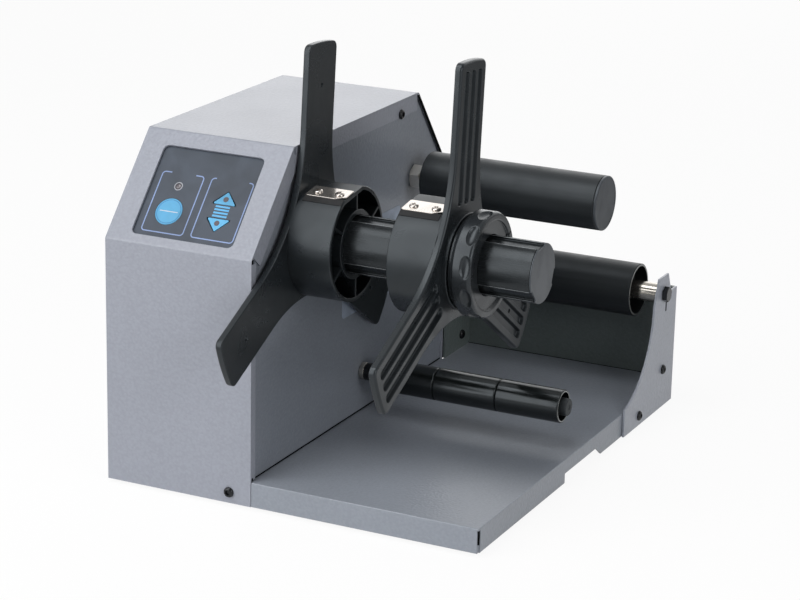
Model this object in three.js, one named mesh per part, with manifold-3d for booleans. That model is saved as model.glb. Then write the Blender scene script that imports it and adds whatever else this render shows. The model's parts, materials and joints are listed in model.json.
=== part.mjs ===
// Bench label rewinder: a sheet-metal drive housing with a sloped control panel,
// a grooved spindle with two three-armed core flanges, three web rollers over a
// tray, and the motor, belt, bearings and electrics that the housing holds.
// Millimetres, +Z up. X runs from the housing (left) to the open work side
// (right), Y from the front to the back. Sizes are written in the housing's own
// frame: X = 0 is its right face, Y = 0 its front, Z = 0 the lower rim.

import * as THREE from 'three';
import { mergeVertices } from 'three/addons/utils/BufferGeometryUtils.js';
import Module from 'manifold-3d';

const wasm = await Module();
wasm.setup();

// Shared clearances and facet counts
const seatGap = 0.3;
const sheet = 1.5;
const roundSides = 36;
const smallSides = 18;
const screwSides = 12;
const bendSteps = 3;
const overlap = 1;

// Housing cover
const coverWidth = 108;
const housingHeight = 228;
const housingDepth = 289;
const frontHeight = 166;
const frontSlopeRun = 55.5;
const rearHeight = 164;
const rearSlopeRun = 50.5;
const coverBendRadius = 2.5;
const coverFlangeThickness = 1.2;
const coverFlangeDepth = 12.5;
const frontReturnDepth = 6;
const cornerRelief = 3;
const sidePlateRearInset = 3;

// Tray
const trayHeight = 17;
const trayRight = 162;
const trayOverhang = 45.5;
const trayDepth = housingDepth + trayOverhang;
const trayReturnDepth = 24;
const cornerSlit = 1.1;
const lipNotchStart = 138.5;
const lipNotchEnd = 193.4;
const lipNotchHeight = 7;
const lipNotchRun = 9.6;

// Rear wall of the tray
const rearWallHeight = 86;
const leftTabAboveRoller = 14;
const rightTabBelowShaft = 8;
const leftTabGap = 0.8;
const rightTabDepth = 41;
const tabRelief = 2.5;

// Right bracket, its corners measured forwards from the tray's back edge
const bracketLength = 93.9;
const bracketCurveRadius = 63;
const bracketCurveHeight = 81.5;
const bracketNeck = 43.5;
const bracketEarFront = 36.5;
const bracketEarRear = 18.5;
const bracketShoulder = 12;
const bracketAboveRoller = 13.5;
const bracketSlitWidth = 1;
const bracketSlitLength = 7;
const bracketSlitOffset = 5;
const bracketSlitDrop = 7.2;

// Feet
const footRadius = 6.5;
const footHeight = 2;
const footInset = 18;

// Control panel behind a window in the front slope. The window is measured from
// the housing's left face and up the slope, and what is on the panel from the
// window's lower left corner
const windowWidth = 75;
const windowHeight = 66;
const windowFromLeft = 16.5;
const windowUp = 6.1;
const windowCorner = 4;
const panelMargin = 4;
const panelThickness = 1.2;
const startKeyRadius = 9.5;
const startKeyAcross = 20.2;
const startKeyUp = 19.7;
const arrowWidth = 18;
const arrowHeight = 9.4;
const arrowsAcross = 57;
const upArrowBase = 30.3;
const downArrowBase = 19.9;
const keyThickness = 1.2;
const keyTravel = 0.6;
const ledRadius = 1.9;
const ledAcross = 20.2;
const ledUp = 38.3;
const ledStandsProud = 0.4;
const keypadBoardGap = 4.5;
const boardThickness = 1.6;
const switchSide = 6;
const switchHeight = 2.4;
const keypadMargin = 5;
const keypadPostInset = 9;

// Spindle
const spindleY = 73.2;
const spindleZ = 164.2;
const spindleRadius = 19.4;
const spindleWall = 3;
const spindleEnd = 167.7;
const spindleStart = 0.8;
const spindleGrooves = 3;
const spindleGrooveWidth = 7;
const spindleGrooveDepth = 1.4;
const spindleGrooveLean = 11;
const spindleHubLength = 44;
const spindleCapThickness = 2.8;
const spindleCapPlug = 8;
const spindleCapSlit = 1.2;
const shaftRadius = 7.5;

// Core flanges
const armCount = 3;
const armLength = 128.6;
const armWidth = 37.3;
const armLean = -4.3;
const armThickness = 4.9;
const armCorner = 5;
const armFilletRadius = 103;
const armFilletSteps = 8;
const ribGrooves = 3;
const ribPitch = 9.5;
const ribGrooveWidth = 5;
const ribGrooveDepth = 2.4;
const ribGrooveStart = 37;
const ribGrooveEnd = 122;
const pinHoleRadius = 1.5;
const pinHoleReach = 100;
const coreRadius = 38;
const hubLength = 30.9;
const hubWall = 2.6;
const hubInnerWall = 3.3;
const hubSpokes = 6;
const hubSpokeThickness = 1.8;
const padReach = 35.6;
const padWall = 2.8;
const padLean = 9.3;
const gripLength = 28;
const gripWidth = 15;
const gripThickness = 0.8;
const gripEndInset = 0.4;
const gripForward = 5.8;
const gripChamferLength = 6.3;
const gripChamferWidth = 4;
const innerFlangeFace = 6.2;
const outerFlangeFace = 107.6;
const bossRadius = 31.5;
const bossHeight = 3;

// Clamp nut on the outer flange
const nutCollarRadius = 30;
const nutRadius = 34.3;
const nutLength = 17.2;
const nutCollarLength = 2.2;
const nutShoulder = 3;
const nutLip = 2.4;
const nutFaceRadius = 28.8;
const nutFaceDepth = 1.5;
const nutFlutes = 10;
const nutFluteStart = 7;
const nutFluteLength = 14.4;
const nutFluteWidth = 7.4;
const nutFluteDepth = 2.2;
const nutFluteFromFront = 4.4;
const nutSlitWidth = 1.1;
const nutSlitLean = -60;

// Top roller on its stud
const topRollerFromRear = 52.5;
const topRollerY = housingDepth - topRollerFromRear;
const topRollerZ = 168;
const rollerRadius = 19;
const rollerStart = 11.6;
const rollerEnd = 144.2;
const topRollerWall = 2.8;
const topCapThickness = 1.8;
const topCapPlug = 8;
const studRadius = 5;
const studInside = 12;
const nutFlats = 16;
const studNutLength = 7.6;
const bushLength = 10;
const bushRecess = 3;

// Lower roller on its shaft
const lowerRollerFromRear = 26;
const lowerRollerY = trayDepth - lowerRollerFromRear;
const lowerRollerZ = 87;
const lowerRollerWall = 1.8;
const lowerShaftRadius = 7;
const lowerBushRecess = 9;
const shaftScrewRadius = 3;
const shaftScrewLength = 14;
const screwHeadFlats = 10;
const screwHeadLength = 2.7;

// Low guide with loose sleeves
const guideY = 160.4;
const guideZ = 45.6;
const guideShaftRadius = 5;
const guideSleeves = 3;
const guideSleeveRadius = 11.4;
const guideSleeveWall = 1.6;
const guideSleeveLength = 46.1;
const guideSleeveWeb = 12;
const guideStart = 11.2;
const guideSpacerRadius = 6.2;
const guideCapRadius = 6;
const guideCapLength = 7;
const guideShaftInside = 10;

// Drive inside the housing
const motorY = 150;
const motorZ = 95;
const motorPlateX = -43;
const motorPlateThickness = 3;
const motorPlateFoot = 14;
const motorPlateRim = 4;
const motorPlateMargin = 16;
const motorPlateCorner = 8;
const bearingRadius = 16;
const bearingWidth = 9;
const bearingBossWall = 5;
const bearingFlange = 5;
const bearingFlangeRadius = 30;
const bearingPocket = 10;
const pulleyWidth = 12;
const pulleyLip = 1.8;
const pulleyLipHeight = 3;
const spindlePulleyRadius = 30;
const motorPulleyRadius = 13;
const beltThickness = 2;
const beltWidth = 7.6;
const pulleyX = -36;
const outputRadius = 4;
const gearboxSide = 58;
const gearboxLength = 24;
const gearboxCorner = 6;
const motorPlateBack = motorY + gearboxSide / 2 + motorPlateMargin;
const motorRadius = 26;
const motorLength = 33;

// Electrics inside the housing
const transformerX = -81;
const transformerY = 78;
const transformerWidth = 32;
const transformerDepth = 52;
const transformerHeight = 42;
const coilHeight = 24;
const coilBulge = 6;
const boardWidth = 82;
const boardDepth = 50;
const boardCentreX = -54;
const boardGap = 2;
const carrierThickness = 2;
const postRadius = 3;
const postHeight = 6;
const partHeight = 14;
const socketX = -74;
const socketZ = 62;
const socketWidth = 27;
const socketHeight = 20;
const socketDepth = 24;
const socketRim = 2.5;
const socketWall = 2.5;
const switchX = -34;
const switchWidth = 15;
const rockerFrameHeight = 21;
const switchDepth = 16;
const rockerDepth = 7;
const rockerTilt = 8;

const looks = {
  paint: { color: 0x8f949e, roughness: 0.55, metalness: 0.2 },
  moulding: { color: 0x25282b, roughness: 0.45, metalness: 0 },
  gloss: { color: 0x101214, roughness: 0.2, metalness: 0 },
  darkMetal: { color: 0x1b1e20, roughness: 0.35, metalness: 0.3 },
  endCap: { color: 0x3c4043, roughness: 0.6, metalness: 0 },
  steel: { color: 0xb9b6b0, roughness: 0.3, metalness: 0.9 },
  aluminium: { color: 0xa9adb2, roughness: 0.4, metalness: 0.8 },
  overlay: { color: 0x4a4c52, roughness: 0.5, metalness: 0 },
  key: { color: 0x4aa9d8, roughness: 0.5, metalness: 0 },
  led: { color: 0xa03a2c, roughness: 0.3, metalness: 0 },
  board: { color: 0x1f5a3a, roughness: 0.5, metalness: 0 },
  rubber: { color: 0x17181a, roughness: 0.8, metalness: 0 },
  nylon: { color: 0xd8d4c8, roughness: 0.6, metalness: 0 },
  copper: { color: 0x8a4a2a, roughness: 0.4, metalness: 0.6 },
};

const degrees = THREE.MathUtils.degToRad;
const model = new THREE.Group();

// Turns a closed geometry into a solid, whichever way its faces were wound
function toSolid(geometry) {
  const bare = geometry.clone();
  bare.deleteAttribute('normal');
  bare.deleteAttribute('uv');
  const merged = mergeVertices(bare, 1e-4);
  const position = merged.attributes.position;
  const source = merged.index.array;
  const faces = [];
  let volume = 0;
  const a = new THREE.Vector3();
  const b = new THREE.Vector3();
  const c = new THREE.Vector3();
  for (let i = 0; i < source.length; i += 3) {
    const [p, q, r] = [source[i], source[i + 1], source[i + 2]];
    if (p === q || q === r || r === p) {
      continue;
    }
    faces.push(p, q, r);
    a.fromBufferAttribute(position, p);
    b.fromBufferAttribute(position, q);
    c.fromBufferAttribute(position, r);
    volume += a.dot(b.cross(c));
  }
  if (volume < 0) {
    for (let i = 0; i < faces.length; i += 3) {
      [faces[i + 1], faces[i + 2]] = [faces[i + 2], faces[i + 1]];
    }
  }
  return new wasm.Manifold(new wasm.Mesh({
    numProp: 3,
    vertProperties: Float32Array.from(position.array),
    triVerts: Uint32Array.from(faces),
  }));
}

function addPiece(name, solid, look, parent = model) {
  const mesh = solid.getMesh();
  const geometry = new THREE.BufferGeometry();
  geometry.setAttribute('position', new THREE.BufferAttribute(mesh.vertProperties, 3));
  geometry.setIndex(new THREE.BufferAttribute(mesh.triVerts, 1));
  geometry.computeVertexNormals();
  const piece = new THREE.Mesh(geometry, new THREE.MeshStandardMaterial(looks[look]));
  piece.name = name;
  parent.add(piece);
  return piece;
}

// Axis changes: a profile drawn in (Y, Z) runs along X, one drawn in (X, Z) along Y
const alongX = new THREE.Matrix4().makeBasis(
  new THREE.Vector3(0, 1, 0),
  new THREE.Vector3(0, 0, 1),
  new THREE.Vector3(1, 0, 0),
);
const alongY = new THREE.Matrix4().makeBasis(
  new THREE.Vector3(1, 0, 0),
  new THREE.Vector3(0, 0, 1),
  new THREE.Vector3(0, -1, 0),
);

function extrude(shape, depth) {
  return new THREE.ExtrudeGeometry(shape, { depth, bevelEnabled: false, steps: 1 });
}

function extrudeX(shape, from, to) {
  const geometry = extrude(shape, to - from);
  geometry.applyMatrix4(alongX);
  geometry.translate(from, 0, 0);
  return toSolid(geometry);
}

function extrudeY(shape, from, to) {
  const geometry = extrude(shape, to - from);
  geometry.applyMatrix4(alongY);
  geometry.translate(0, to, 0);
  return toSolid(geometry);
}

function extrudeZ(shape, from, to) {
  const geometry = extrude(shape, to - from);
  geometry.translate(0, 0, from);
  return toSolid(geometry);
}

function box(x0, x1, y0, y1, z0, z1) {
  const geometry = new THREE.BoxGeometry(x1 - x0, y1 - y0, z1 - z0);
  geometry.translate((x0 + x1) / 2, (y0 + y1) / 2, (z0 + z1) / 2);
  return toSolid(geometry);
}

// A turned piece on an axis along X: profile points are [x, radius]
function turned(profile, y, z, sides = roundSides) {
  const points = profile.map(([x, radius]) => new THREE.Vector2(radius, x));
  const closed = profile[0][1] > 0 ? [...points, points[0].clone()] : points;
  const geometry = new THREE.LatheGeometry(closed, sides);
  geometry.rotateZ(-Math.PI / 2);
  geometry.translate(0, y, z);
  return toSolid(geometry);
}

function rod(from, to, radius, y, z, sides = smallSides) {
  return turned([[from, 0], [from, radius], [to, radius], [to, 0]], y, z, sides);
}

function ring(from, to, inner, outer, y, z, sides = smallSides) {
  return turned([[from, inner], [from, outer], [to, outer], [to, inner]], y, z, sides);
}

function hexRod(from, to, flats, y, z) {
  return rod(from, to, flats / 2 / Math.cos(Math.PI / 6), y, z, 6);
}

// Outline through corners [x, y, radius], each corner rounded by its radius
function roundedOutline(corners, steps = bendSteps) {
  const points = [];
  corners.forEach(([x, y, radius = 0], i) => {
    const corner = new THREE.Vector2(x, y);
    if (radius === 0) {
      points.push(corner);
      return;
    }
    const before = corners[(i + corners.length - 1) % corners.length];
    const after = corners[(i + 1) % corners.length];
    const back = new THREE.Vector2(before[0] - x, before[1] - y).normalize();
    const ahead = new THREE.Vector2(after[0] - x, after[1] - y).normalize();
    const half = Math.acos(THREE.MathUtils.clamp(back.dot(ahead), -1, 1)) / 2;
    const middle = back.clone().add(ahead).normalize();
    const centre = corner.clone().addScaledVector(middle, radius / Math.sin(half));
    const start = corner.clone().addScaledVector(back, radius / Math.tan(half)).sub(centre);
    const end = corner.clone().addScaledVector(ahead, radius / Math.tan(half)).sub(centre);
    points.push(...arcPoints(centre, start, end, steps));
  });
  return new THREE.Shape(points);
}

// Points of the shorter arc about a centre, from one radius vector to another
function arcPoints(centre, start, end, steps) {
  const first = Math.atan2(start.y, start.x);
  let sweep = Math.atan2(end.y, end.x) - first;
  sweep -= 2 * Math.PI * Math.round(sweep / (2 * Math.PI));
  const radius = start.length();
  return Array.from({ length: steps + 1 }, (_, k) => {
    const angle = first + (sweep * k) / steps;
    return new THREE.Vector2(centre.x + radius * Math.cos(angle), centre.y + radius * Math.sin(angle));
  });
}

// Moves each edge of a counterclockwise outline inwards by its own distance
function inset(corners, distances) {
  const count = corners.length;
  const lines = corners.map(([x, y], i) => {
    const [nextX, nextY] = corners[(i + 1) % count];
    const run = new THREE.Vector2(nextX - x, nextY - y).normalize();
    const shift = distances[i];
    return { x: x - run.y * shift, y: y + run.x * shift, run };
  });
  return corners.map((_, i) => {
    const one = lines[(i + count - 1) % count];
    const two = lines[i];
    const cross = one.run.x * two.run.y - one.run.y * two.run.x;
    const along = ((two.x - one.x) * two.run.y - (two.y - one.y) * two.run.x) / cross;
    return [one.x + one.run.x * along, one.y + one.run.y * along];
  });
}

function rectangle(x0, x1, y0, y1, radius = 0, steps = bendSteps) {
  return roundedOutline([[x0, y0, radius], [x1, y0, radius], [x1, y1, radius], [x0, y1, radius]], steps);
}

// The front slope's own frame: u to the right, v up the slope, w out of it
const slopeAngle = Math.atan2(housingHeight - frontHeight, frontSlopeRun);
const slopeLength = Math.hypot(housingHeight - frontHeight, frontSlopeRun);
const slopeFrame = new THREE.Matrix4()
  .makeTranslation(-coverWidth, 0, frontHeight)
  .multiply(new THREE.Matrix4().makeRotationX(slopeAngle));
const slopeGroup = new THREE.Group();
slopeGroup.position.set(-coverWidth, 0, frontHeight);
slopeGroup.rotation.x = slopeAngle;
model.add(slopeGroup);

function onSlope(shape, low, high) {
  const geometry = extrude(shape, high - low);
  geometry.translate(0, 0, low);
  return geometry;
}

function slopeCutter(shape, low, high) {
  return toSolid(onSlope(shape, low, high).applyMatrix4(slopeFrame));
}

// Key outlines in the slope's frame, grown by a clearance where asked
function circleOutline(x, y, radius, sides = smallSides) {
  return new THREE.Shape(Array.from({ length: sides }, (_, k) => {
    const angle = (2 * Math.PI * k) / sides;
    return new THREE.Vector2(x + radius * Math.cos(angle), y + radius * Math.sin(angle));
  }));
}

const windowSpan = [windowFromLeft, windowFromLeft + windowWidth, windowUp, windowUp + windowHeight];

function windowOutline(grow, radius) {
  const [x0, x1, y0, y1] = windowSpan;
  return rectangle(x0 - grow, x1 + grow, y0 - grow, y1 + grow, radius, 4);
}

const startKeyCentre = [windowFromLeft + startKeyAcross, windowUp + startKeyUp];
const ledCentre = [windowFromLeft + ledAcross, windowUp + ledUp];
const arrowsX = windowFromLeft + arrowsAcross;

function arrowCorners(base, direction) {
  const half = arrowWidth / 2;
  const foot = windowUp + base;
  const left = [arrowsX - half, foot];
  const right = [arrowsX + half, foot];
  const tip = [arrowsX, foot + direction * arrowHeight];
  return direction > 0 ? [left, right, tip] : [right, left, tip];
}

function arrowOutline(base, direction, grow) {
  const corners = inset(arrowCorners(base, direction), [-grow, -grow, -grow]);
  return roundedOutline(corners.map(([x, y]) => [x, y, 0.5 + grow]));
}

const keyOutlines = {
  start_key: (grow) => circleOutline(...startKeyCentre, startKeyRadius + grow),
  up_key: (grow) => arrowOutline(upArrowBase, 1, grow),
  down_key: (grow) => arrowOutline(downArrowBase, -1, grow),
};
const keySwitches = {
  start_key: startKeyCentre,
  up_key: [arrowsX, windowUp + upArrowBase + arrowHeight / 3],
  down_key: [arrowsX, windowUp + downArrowBase - arrowHeight / 3],
};

// Housing profile in (Y, Z), counterclockwise from the front rim
const topRear = housingDepth - rearSlopeRun;
const housingProfile = [
  [0, 0],
  [housingDepth, 0],
  [housingDepth, rearHeight],
  [topRear, housingHeight],
  [frontSlopeRun, housingHeight],
  [0, frontHeight],
];

function bentProfile(corners, radius) {
  return roundedOutline(corners.map(([y, z], i) => [y, z, i > 1 ? radius : 0]));
}

function buildCover() {
  const outer = extrudeX(bentProfile(housingProfile, coverBendRadius), -coverWidth, 0);
  const inner = inset(housingProfile, [-overlap, sheet, sheet, sheet, sheet, sheet]);
  const hollow = extrudeX(bentProfile(inner, coverBendRadius - sheet), sheet - coverWidth, overlap);
  let cover = outer.subtract(hollow);
  const merge = sheet / 2;
  const flangeX = -coverFlangeThickness;
  const frontReturn = rectangle(
    merge, frontReturnDepth, trayHeight + seatGap * 2, frontHeight - cornerRelief);
  const topFlange = rectangle(
    frontSlopeRun + cornerRelief, topRear - coverBendRadius,
    housingHeight - coverFlangeDepth, housingHeight - merge);
  const slopeBand = rectangle(
    cornerRelief, slopeLength - cornerRelief, -coverFlangeDepth, -merge);
  cover = cover.add(extrudeX(frontReturn, flangeX, 0));
  cover = cover.add(extrudeX(topFlange, flangeX, 0));
  const band = extrude(slopeBand, coverFlangeThickness);
  band.rotateZ(slopeAngle);
  band.translate(0, frontHeight, 0);
  band.applyMatrix4(alongX);
  band.translate(flangeX, 0, 0);
  cover = cover.add(toSolid(band));
  cover = cover.subtract(slopeCutter(windowOutline(0, windowCorner), -2 * sheet, overlap));
  cover = cover.subtract(box(
    socketX - socketWidth / 2 - seatGap, socketX + socketWidth / 2 + seatGap,
    housingDepth - 2 * sheet, housingDepth + overlap,
    socketZ - socketHeight / 2 - seatGap, socketZ + socketHeight / 2 + seatGap));
  cover = cover.subtract(box(
    switchX - switchWidth / 2 - seatGap, switchX + switchWidth / 2 + seatGap,
    housingDepth - 2 * sheet, housingDepth + overlap,
    socketZ - rockerFrameHeight / 2 - seatGap, socketZ + rockerFrameHeight / 2 + seatGap));
  addPiece('cover', cover, 'paint');
}

const sidePlateOuter = -coverFlangeThickness - seatGap;
const sidePlateInner = sidePlateOuter - sheet;
const trayTop = trayHeight;
const standOnTray = trayTop + seatGap;

function buildSidePlate() {
  const edge = sheet + seatGap;
  const outline = inset(housingProfile, [standOnTray, edge, sidePlateRearInset, edge, edge, edge]);
  let plate = extrudeX(bentProfile(outline, coverBendRadius), sidePlateInner, sidePlateOuter);
  const through = [sidePlateInner - overlap, sidePlateOuter + overlap];
  plate = plate.subtract(rod(...through, shaftRadius + bearingBossWall, spindleY, spindleZ));
  plate = plate.subtract(rod(...through, studRadius + seatGap, topRollerY, topRollerZ));
  plate = plate.subtract(rod(...through, guideShaftRadius + seatGap, guideY, guideZ));
  addPiece('side_plate', plate, 'paint');
}

// The tray runs under the housing, where it sits inside the cover
function trayOutline() {
  const left = sheet + seatGap - coverWidth;
  const front = sheet + seatGap;
  const back = housingDepth - sheet - seatGap;
  return [
    [left, front],
    [seatGap, front],
    [seatGap, 0],
    [trayRight, 0],
    [trayRight, trayDepth],
    [seatGap, trayDepth],
    [seatGap, back],
    [left, back],
  ];
}

function buildTray() {
  const corners = trayOutline();
  const plain = (list) => roundedOutline(list);
  const wall = sheet;
  const turn = trayReturnDepth;
  const hollow = inset(corners, corners.map(() => wall));
  const mouth = inset(corners, [turn, wall, turn, wall, turn, wall, turn, wall]);
  let tray = extrudeZ(plain(corners), 0, trayTop);
  tray = tray.subtract(extrudeZ(plain(hollow), sheet, trayTop - sheet));
  tray = tray.subtract(extrudeZ(plain(mouth), -overlap, 2 * sheet));
  const notch = roundedOutline([
    [lipNotchStart, -overlap],
    [lipNotchEnd + lipNotchRun, -overlap],
    [lipNotchEnd + lipNotchRun, 0],
    [lipNotchEnd, lipNotchHeight],
    [lipNotchStart, lipNotchHeight],
  ]);
  tray = tray.subtract(extrudeX(notch, trayRight - 2 * sheet, trayRight + overlap));
  tray = tray.subtract(box(
    trayRight - cornerSlit, trayRight + overlap, -overlap, sheet + cornerSlit,
    -overlap, trayTop - sheet));
  addPiece('base_tray', tray, 'paint');
}

function buildFeet() {
  const left = sheet + seatGap - coverWidth + footInset;
  const right = trayRight - footInset;
  const middle = (trayReturnDepth + sheet) / 2;
  const leftFront = sheet + seatGap + middle;
  const leftBack = housingDepth - sheet - seatGap - middle;
  const places = {
    foot_front_left: [left, leftFront],
    foot_front_right: [right, middle],
    foot_rear_left: [left, leftBack],
    foot_rear_right: [right, trayDepth - middle],
  };
  for (const [name, [x, y]] of Object.entries(places)) {
    const geometry = new THREE.CylinderGeometry(footRadius, footRadius, footHeight, smallSides);
    geometry.rotateX(Math.PI / 2);
    geometry.translate(x, y, -seatGap - footHeight / 2);
    addPiece(name, toSolid(geometry), 'rubber');
  }
}

function buildRearWall() {
  const inside = trayDepth - sheet;
  const leftFront = housingDepth + leftTabGap;
  const leftTabHeight = lowerRollerZ + leftTabAboveRoller;
  const rightTabHeight = lowerRollerZ - lowerShaftRadius - rightTabBelowShaft;
  const rightFront = trayDepth - rightTabDepth;
  const outline = roundedOutline([
    [seatGap, leftFront],
    [seatGap + sheet, leftFront],
    [seatGap + sheet, inside],
    [trayRight - sheet, inside],
    [trayRight - sheet, rightFront],
    [trayRight, rightFront],
    [trayRight, trayDepth],
    [seatGap, trayDepth],
  ]);
  let wall = extrudeZ(outline, standOnTray, leftTabHeight);
  wall = wall.subtract(box(
    seatGap + 2 * sheet, trayRight + overlap, rightFront - overlap, trayDepth + overlap,
    rearWallHeight, leftTabHeight + overlap));
  wall = wall.subtract(box(
    trayRight - 2 * sheet, trayRight + overlap, rightFront - overlap, inside - sheet,
    rightTabHeight, leftTabHeight + overlap));
  wall = wall.subtract(box(
    seatGap - overlap, seatGap + 2 * sheet, inside - tabRelief, inside,
    standOnTray - overlap, standOnTray + tabRelief));
  wall = wall.subtract(rod(
    seatGap - overlap, seatGap + sheet + overlap, shaftScrewRadius + seatGap,
    lowerRollerY, lowerRollerZ, screwSides));
  addPiece('rear_wall', wall, 'paint');
}

const bracketInner = trayRight + seatGap;
const bracketOuter = bracketInner + sheet;

function buildBracket() {
  const centre = new THREE.Vector2(trayDepth - bracketNeck - bracketCurveRadius, bracketCurveHeight);
  const neck = trayDepth - bracketNeck;
  const bracketFront = trayDepth - bracketLength;
  const bracketTop = lowerRollerZ + bracketAboveRoller;
  const drop = Math.sqrt(bracketCurveRadius ** 2 - (bracketFront - centre.x) ** 2);
  const from = new THREE.Vector2(bracketCurveRadius, 0);
  const to = new THREE.Vector2(bracketFront - centre.x, -drop);
  const points = [
    new THREE.Vector2(bracketFront, 0),
    new THREE.Vector2(trayDepth, 0),
    new THREE.Vector2(trayDepth, rearWallHeight),
    new THREE.Vector2(trayDepth - bracketShoulder, rearWallHeight),
    new THREE.Vector2(trayDepth - bracketEarRear, bracketTop),
    new THREE.Vector2(trayDepth - bracketEarFront, bracketTop),
    new THREE.Vector2(neck, bracketCurveHeight),
    ...arcPoints(centre, from, to, 14).slice(1),
  ];
  let bracket = extrudeX(new THREE.Shape(points), bracketInner, bracketOuter);
  const through = [bracketInner - overlap, bracketOuter + overlap];
  bracket = bracket.subtract(rod(
    ...through, shaftScrewRadius + seatGap, lowerRollerY, lowerRollerZ, screwSides));
  const slitTop = lowerRollerZ - bracketSlitDrop;
  const slitMiddle = lowerRollerY + bracketSlitOffset;
  bracket = bracket.subtract(box(
    ...through,
    slitMiddle - bracketSlitWidth / 2, slitMiddle + bracketSlitWidth / 2,
    slitTop - bracketSlitLength, slitTop));
  addPiece('side_bracket', bracket, 'paint');
}

function buildPanel() {
  const high = -sheet - seatGap;
  const low = high - panelThickness;
  const outline = windowOutline(panelMargin, windowCorner);
  let overlay = toSolid(onSlope(outline, low, high));
  for (const keyOutline of Object.values(keyOutlines)) {
    overlay = overlay.subtract(toSolid(onSlope(keyOutline(seatGap), low - overlap, high + overlap)));
  }
  const ledHole = circleOutline(...ledCentre, ledRadius + seatGap, screwSides);
  overlay = overlay.subtract(toSolid(onSlope(ledHole, low - overlap, high + overlap)));
  addPiece('panel_overlay', overlay, 'overlay', slopeGroup);
  const keyTop = high + seatGap;
  const keyBottom = keyTop - keyThickness;
  for (const [name, keyOutline] of Object.entries(keyOutlines)) {
    addPiece(name, toSolid(onSlope(keyOutline(0), keyBottom, keyTop)), 'key', slopeGroup);
  }
  const boardTop = low - keypadBoardGap;
  const buried = boardTop - boardThickness / 2;
  const margin = keypadMargin;
  const [x0, x1, y0, y1] = windowSpan;
  const boardOutline = rectangle(x0 + margin, x1 - margin, y0 + margin, y1 - margin);
  let board = toSolid(onSlope(boardOutline, boardTop - boardThickness, boardTop));
  const plungerTop = keyBottom - keyTravel - seatGap;
  for (const [x, y] of Object.values(keySwitches)) {
    const half = switchSide / 2;
    const body = rectangle(x - half, x + half, y - half, y + half);
    board = board.add(toSolid(onSlope(body, buried, boardTop + switchHeight)));
    const plunger = circleOutline(x, y, switchSide / 4, screwSides);
    board = board.add(toSolid(onSlope(plunger, boardTop, plungerTop)));
  }
  for (const x of [x0 + keypadPostInset, x1 - keypadPostInset]) {
    const post = circleOutline(x, y1 - keypadPostInset, postRadius, screwSides);
    board = board.add(toSolid(onSlope(post, buried, low - seatGap)));
  }
  addPiece('keypad_board', board, 'board', slopeGroup);
  const led = circleOutline(...ledCentre, ledRadius, screwSides);
  const ledBase = boardTop + seatGap;
  addPiece('status_led', toSolid(onSlope(led, ledBase, high + ledStandsProud)), 'led', slopeGroup);
}

// One arm-and-hub moulding: the ribbed face is at `face`, the roll side lies in
// the direction `way` (+1 or -1) along X
function flangeOutline() {
  const filletReach = (armFilletRadius + armWidth / 2) / Math.sin(Math.PI / armCount);
  const half = armWidth / 2;
  const cornerAcross = half - armCorner;
  const cornerAlong = Math.sqrt((armLength - armCorner) ** 2 - cornerAcross ** 2);
  const spread = Math.atan2(cornerAcross, cornerAlong);
  const points = [];
  for (let k = 0; k < armCount; k += 1) {
    const angle = degrees(armLean) + (2 * Math.PI * k) / armCount;
    const along = new THREE.Vector2(-Math.sin(angle), Math.cos(angle));
    const across = new THREE.Vector2(-Math.cos(angle), -Math.sin(angle));
    const at = (l, w) => along.clone().multiplyScalar(l).addScaledVector(across, w);
    const origin = new THREE.Vector2(0, 0);
    const tip = (turn) => at(Math.cos(turn) * armLength, Math.sin(turn) * armLength);
    for (const side of [-1, 1]) {
      const centre = at(cornerAlong, side * cornerAcross);
      const flank = at(0, side * armCorner);
      const end = tip(side * spread).multiplyScalar(armCorner / armLength);
      const corner = arcPoints(centre, flank, end, 4);
      const ordered = side < 0 ? corner : corner.reverse();
      points.push(...ordered);
      if (side < 0) {
        points.push(...arcPoints(origin, tip(-spread), tip(spread), 4).slice(1, -1));
      }
    }
    const middle = angle + Math.PI / armCount;
    const filletCentre = new THREE.Vector2(-Math.sin(middle), Math.cos(middle))
      .multiplyScalar(filletReach);
    const reach = filletReach * Math.cos(Math.PI / armCount);
    const nextAngle = angle + (2 * Math.PI) / armCount;
    const start = at(reach, half).sub(filletCentre);
    const end = new THREE.Vector2(-Math.sin(nextAngle), Math.cos(nextAngle)).multiplyScalar(reach)
      .addScaledVector(new THREE.Vector2(-Math.cos(nextAngle), -Math.sin(nextAngle)), -half)
      .sub(filletCentre);
    points.push(...arcPoints(filletCentre, start, end, armFilletSteps));
  }
  return new THREE.Shape(points);
}

// Places a profile drawn about the spindle, in (Y, Z), turned by an angle towards
// the front, between two distances from the ribbed face
function spindleCutter(shape, turn, face, way, near, far) {
  const geometry = extrude(shape, Math.abs(far - near));
  geometry.rotateZ(turn);
  geometry.applyMatrix4(alongX);
  const low = Math.min(face + way * near, face + way * far);
  geometry.translate(low, spindleY, spindleZ);
  return toSolid(geometry);
}

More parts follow.
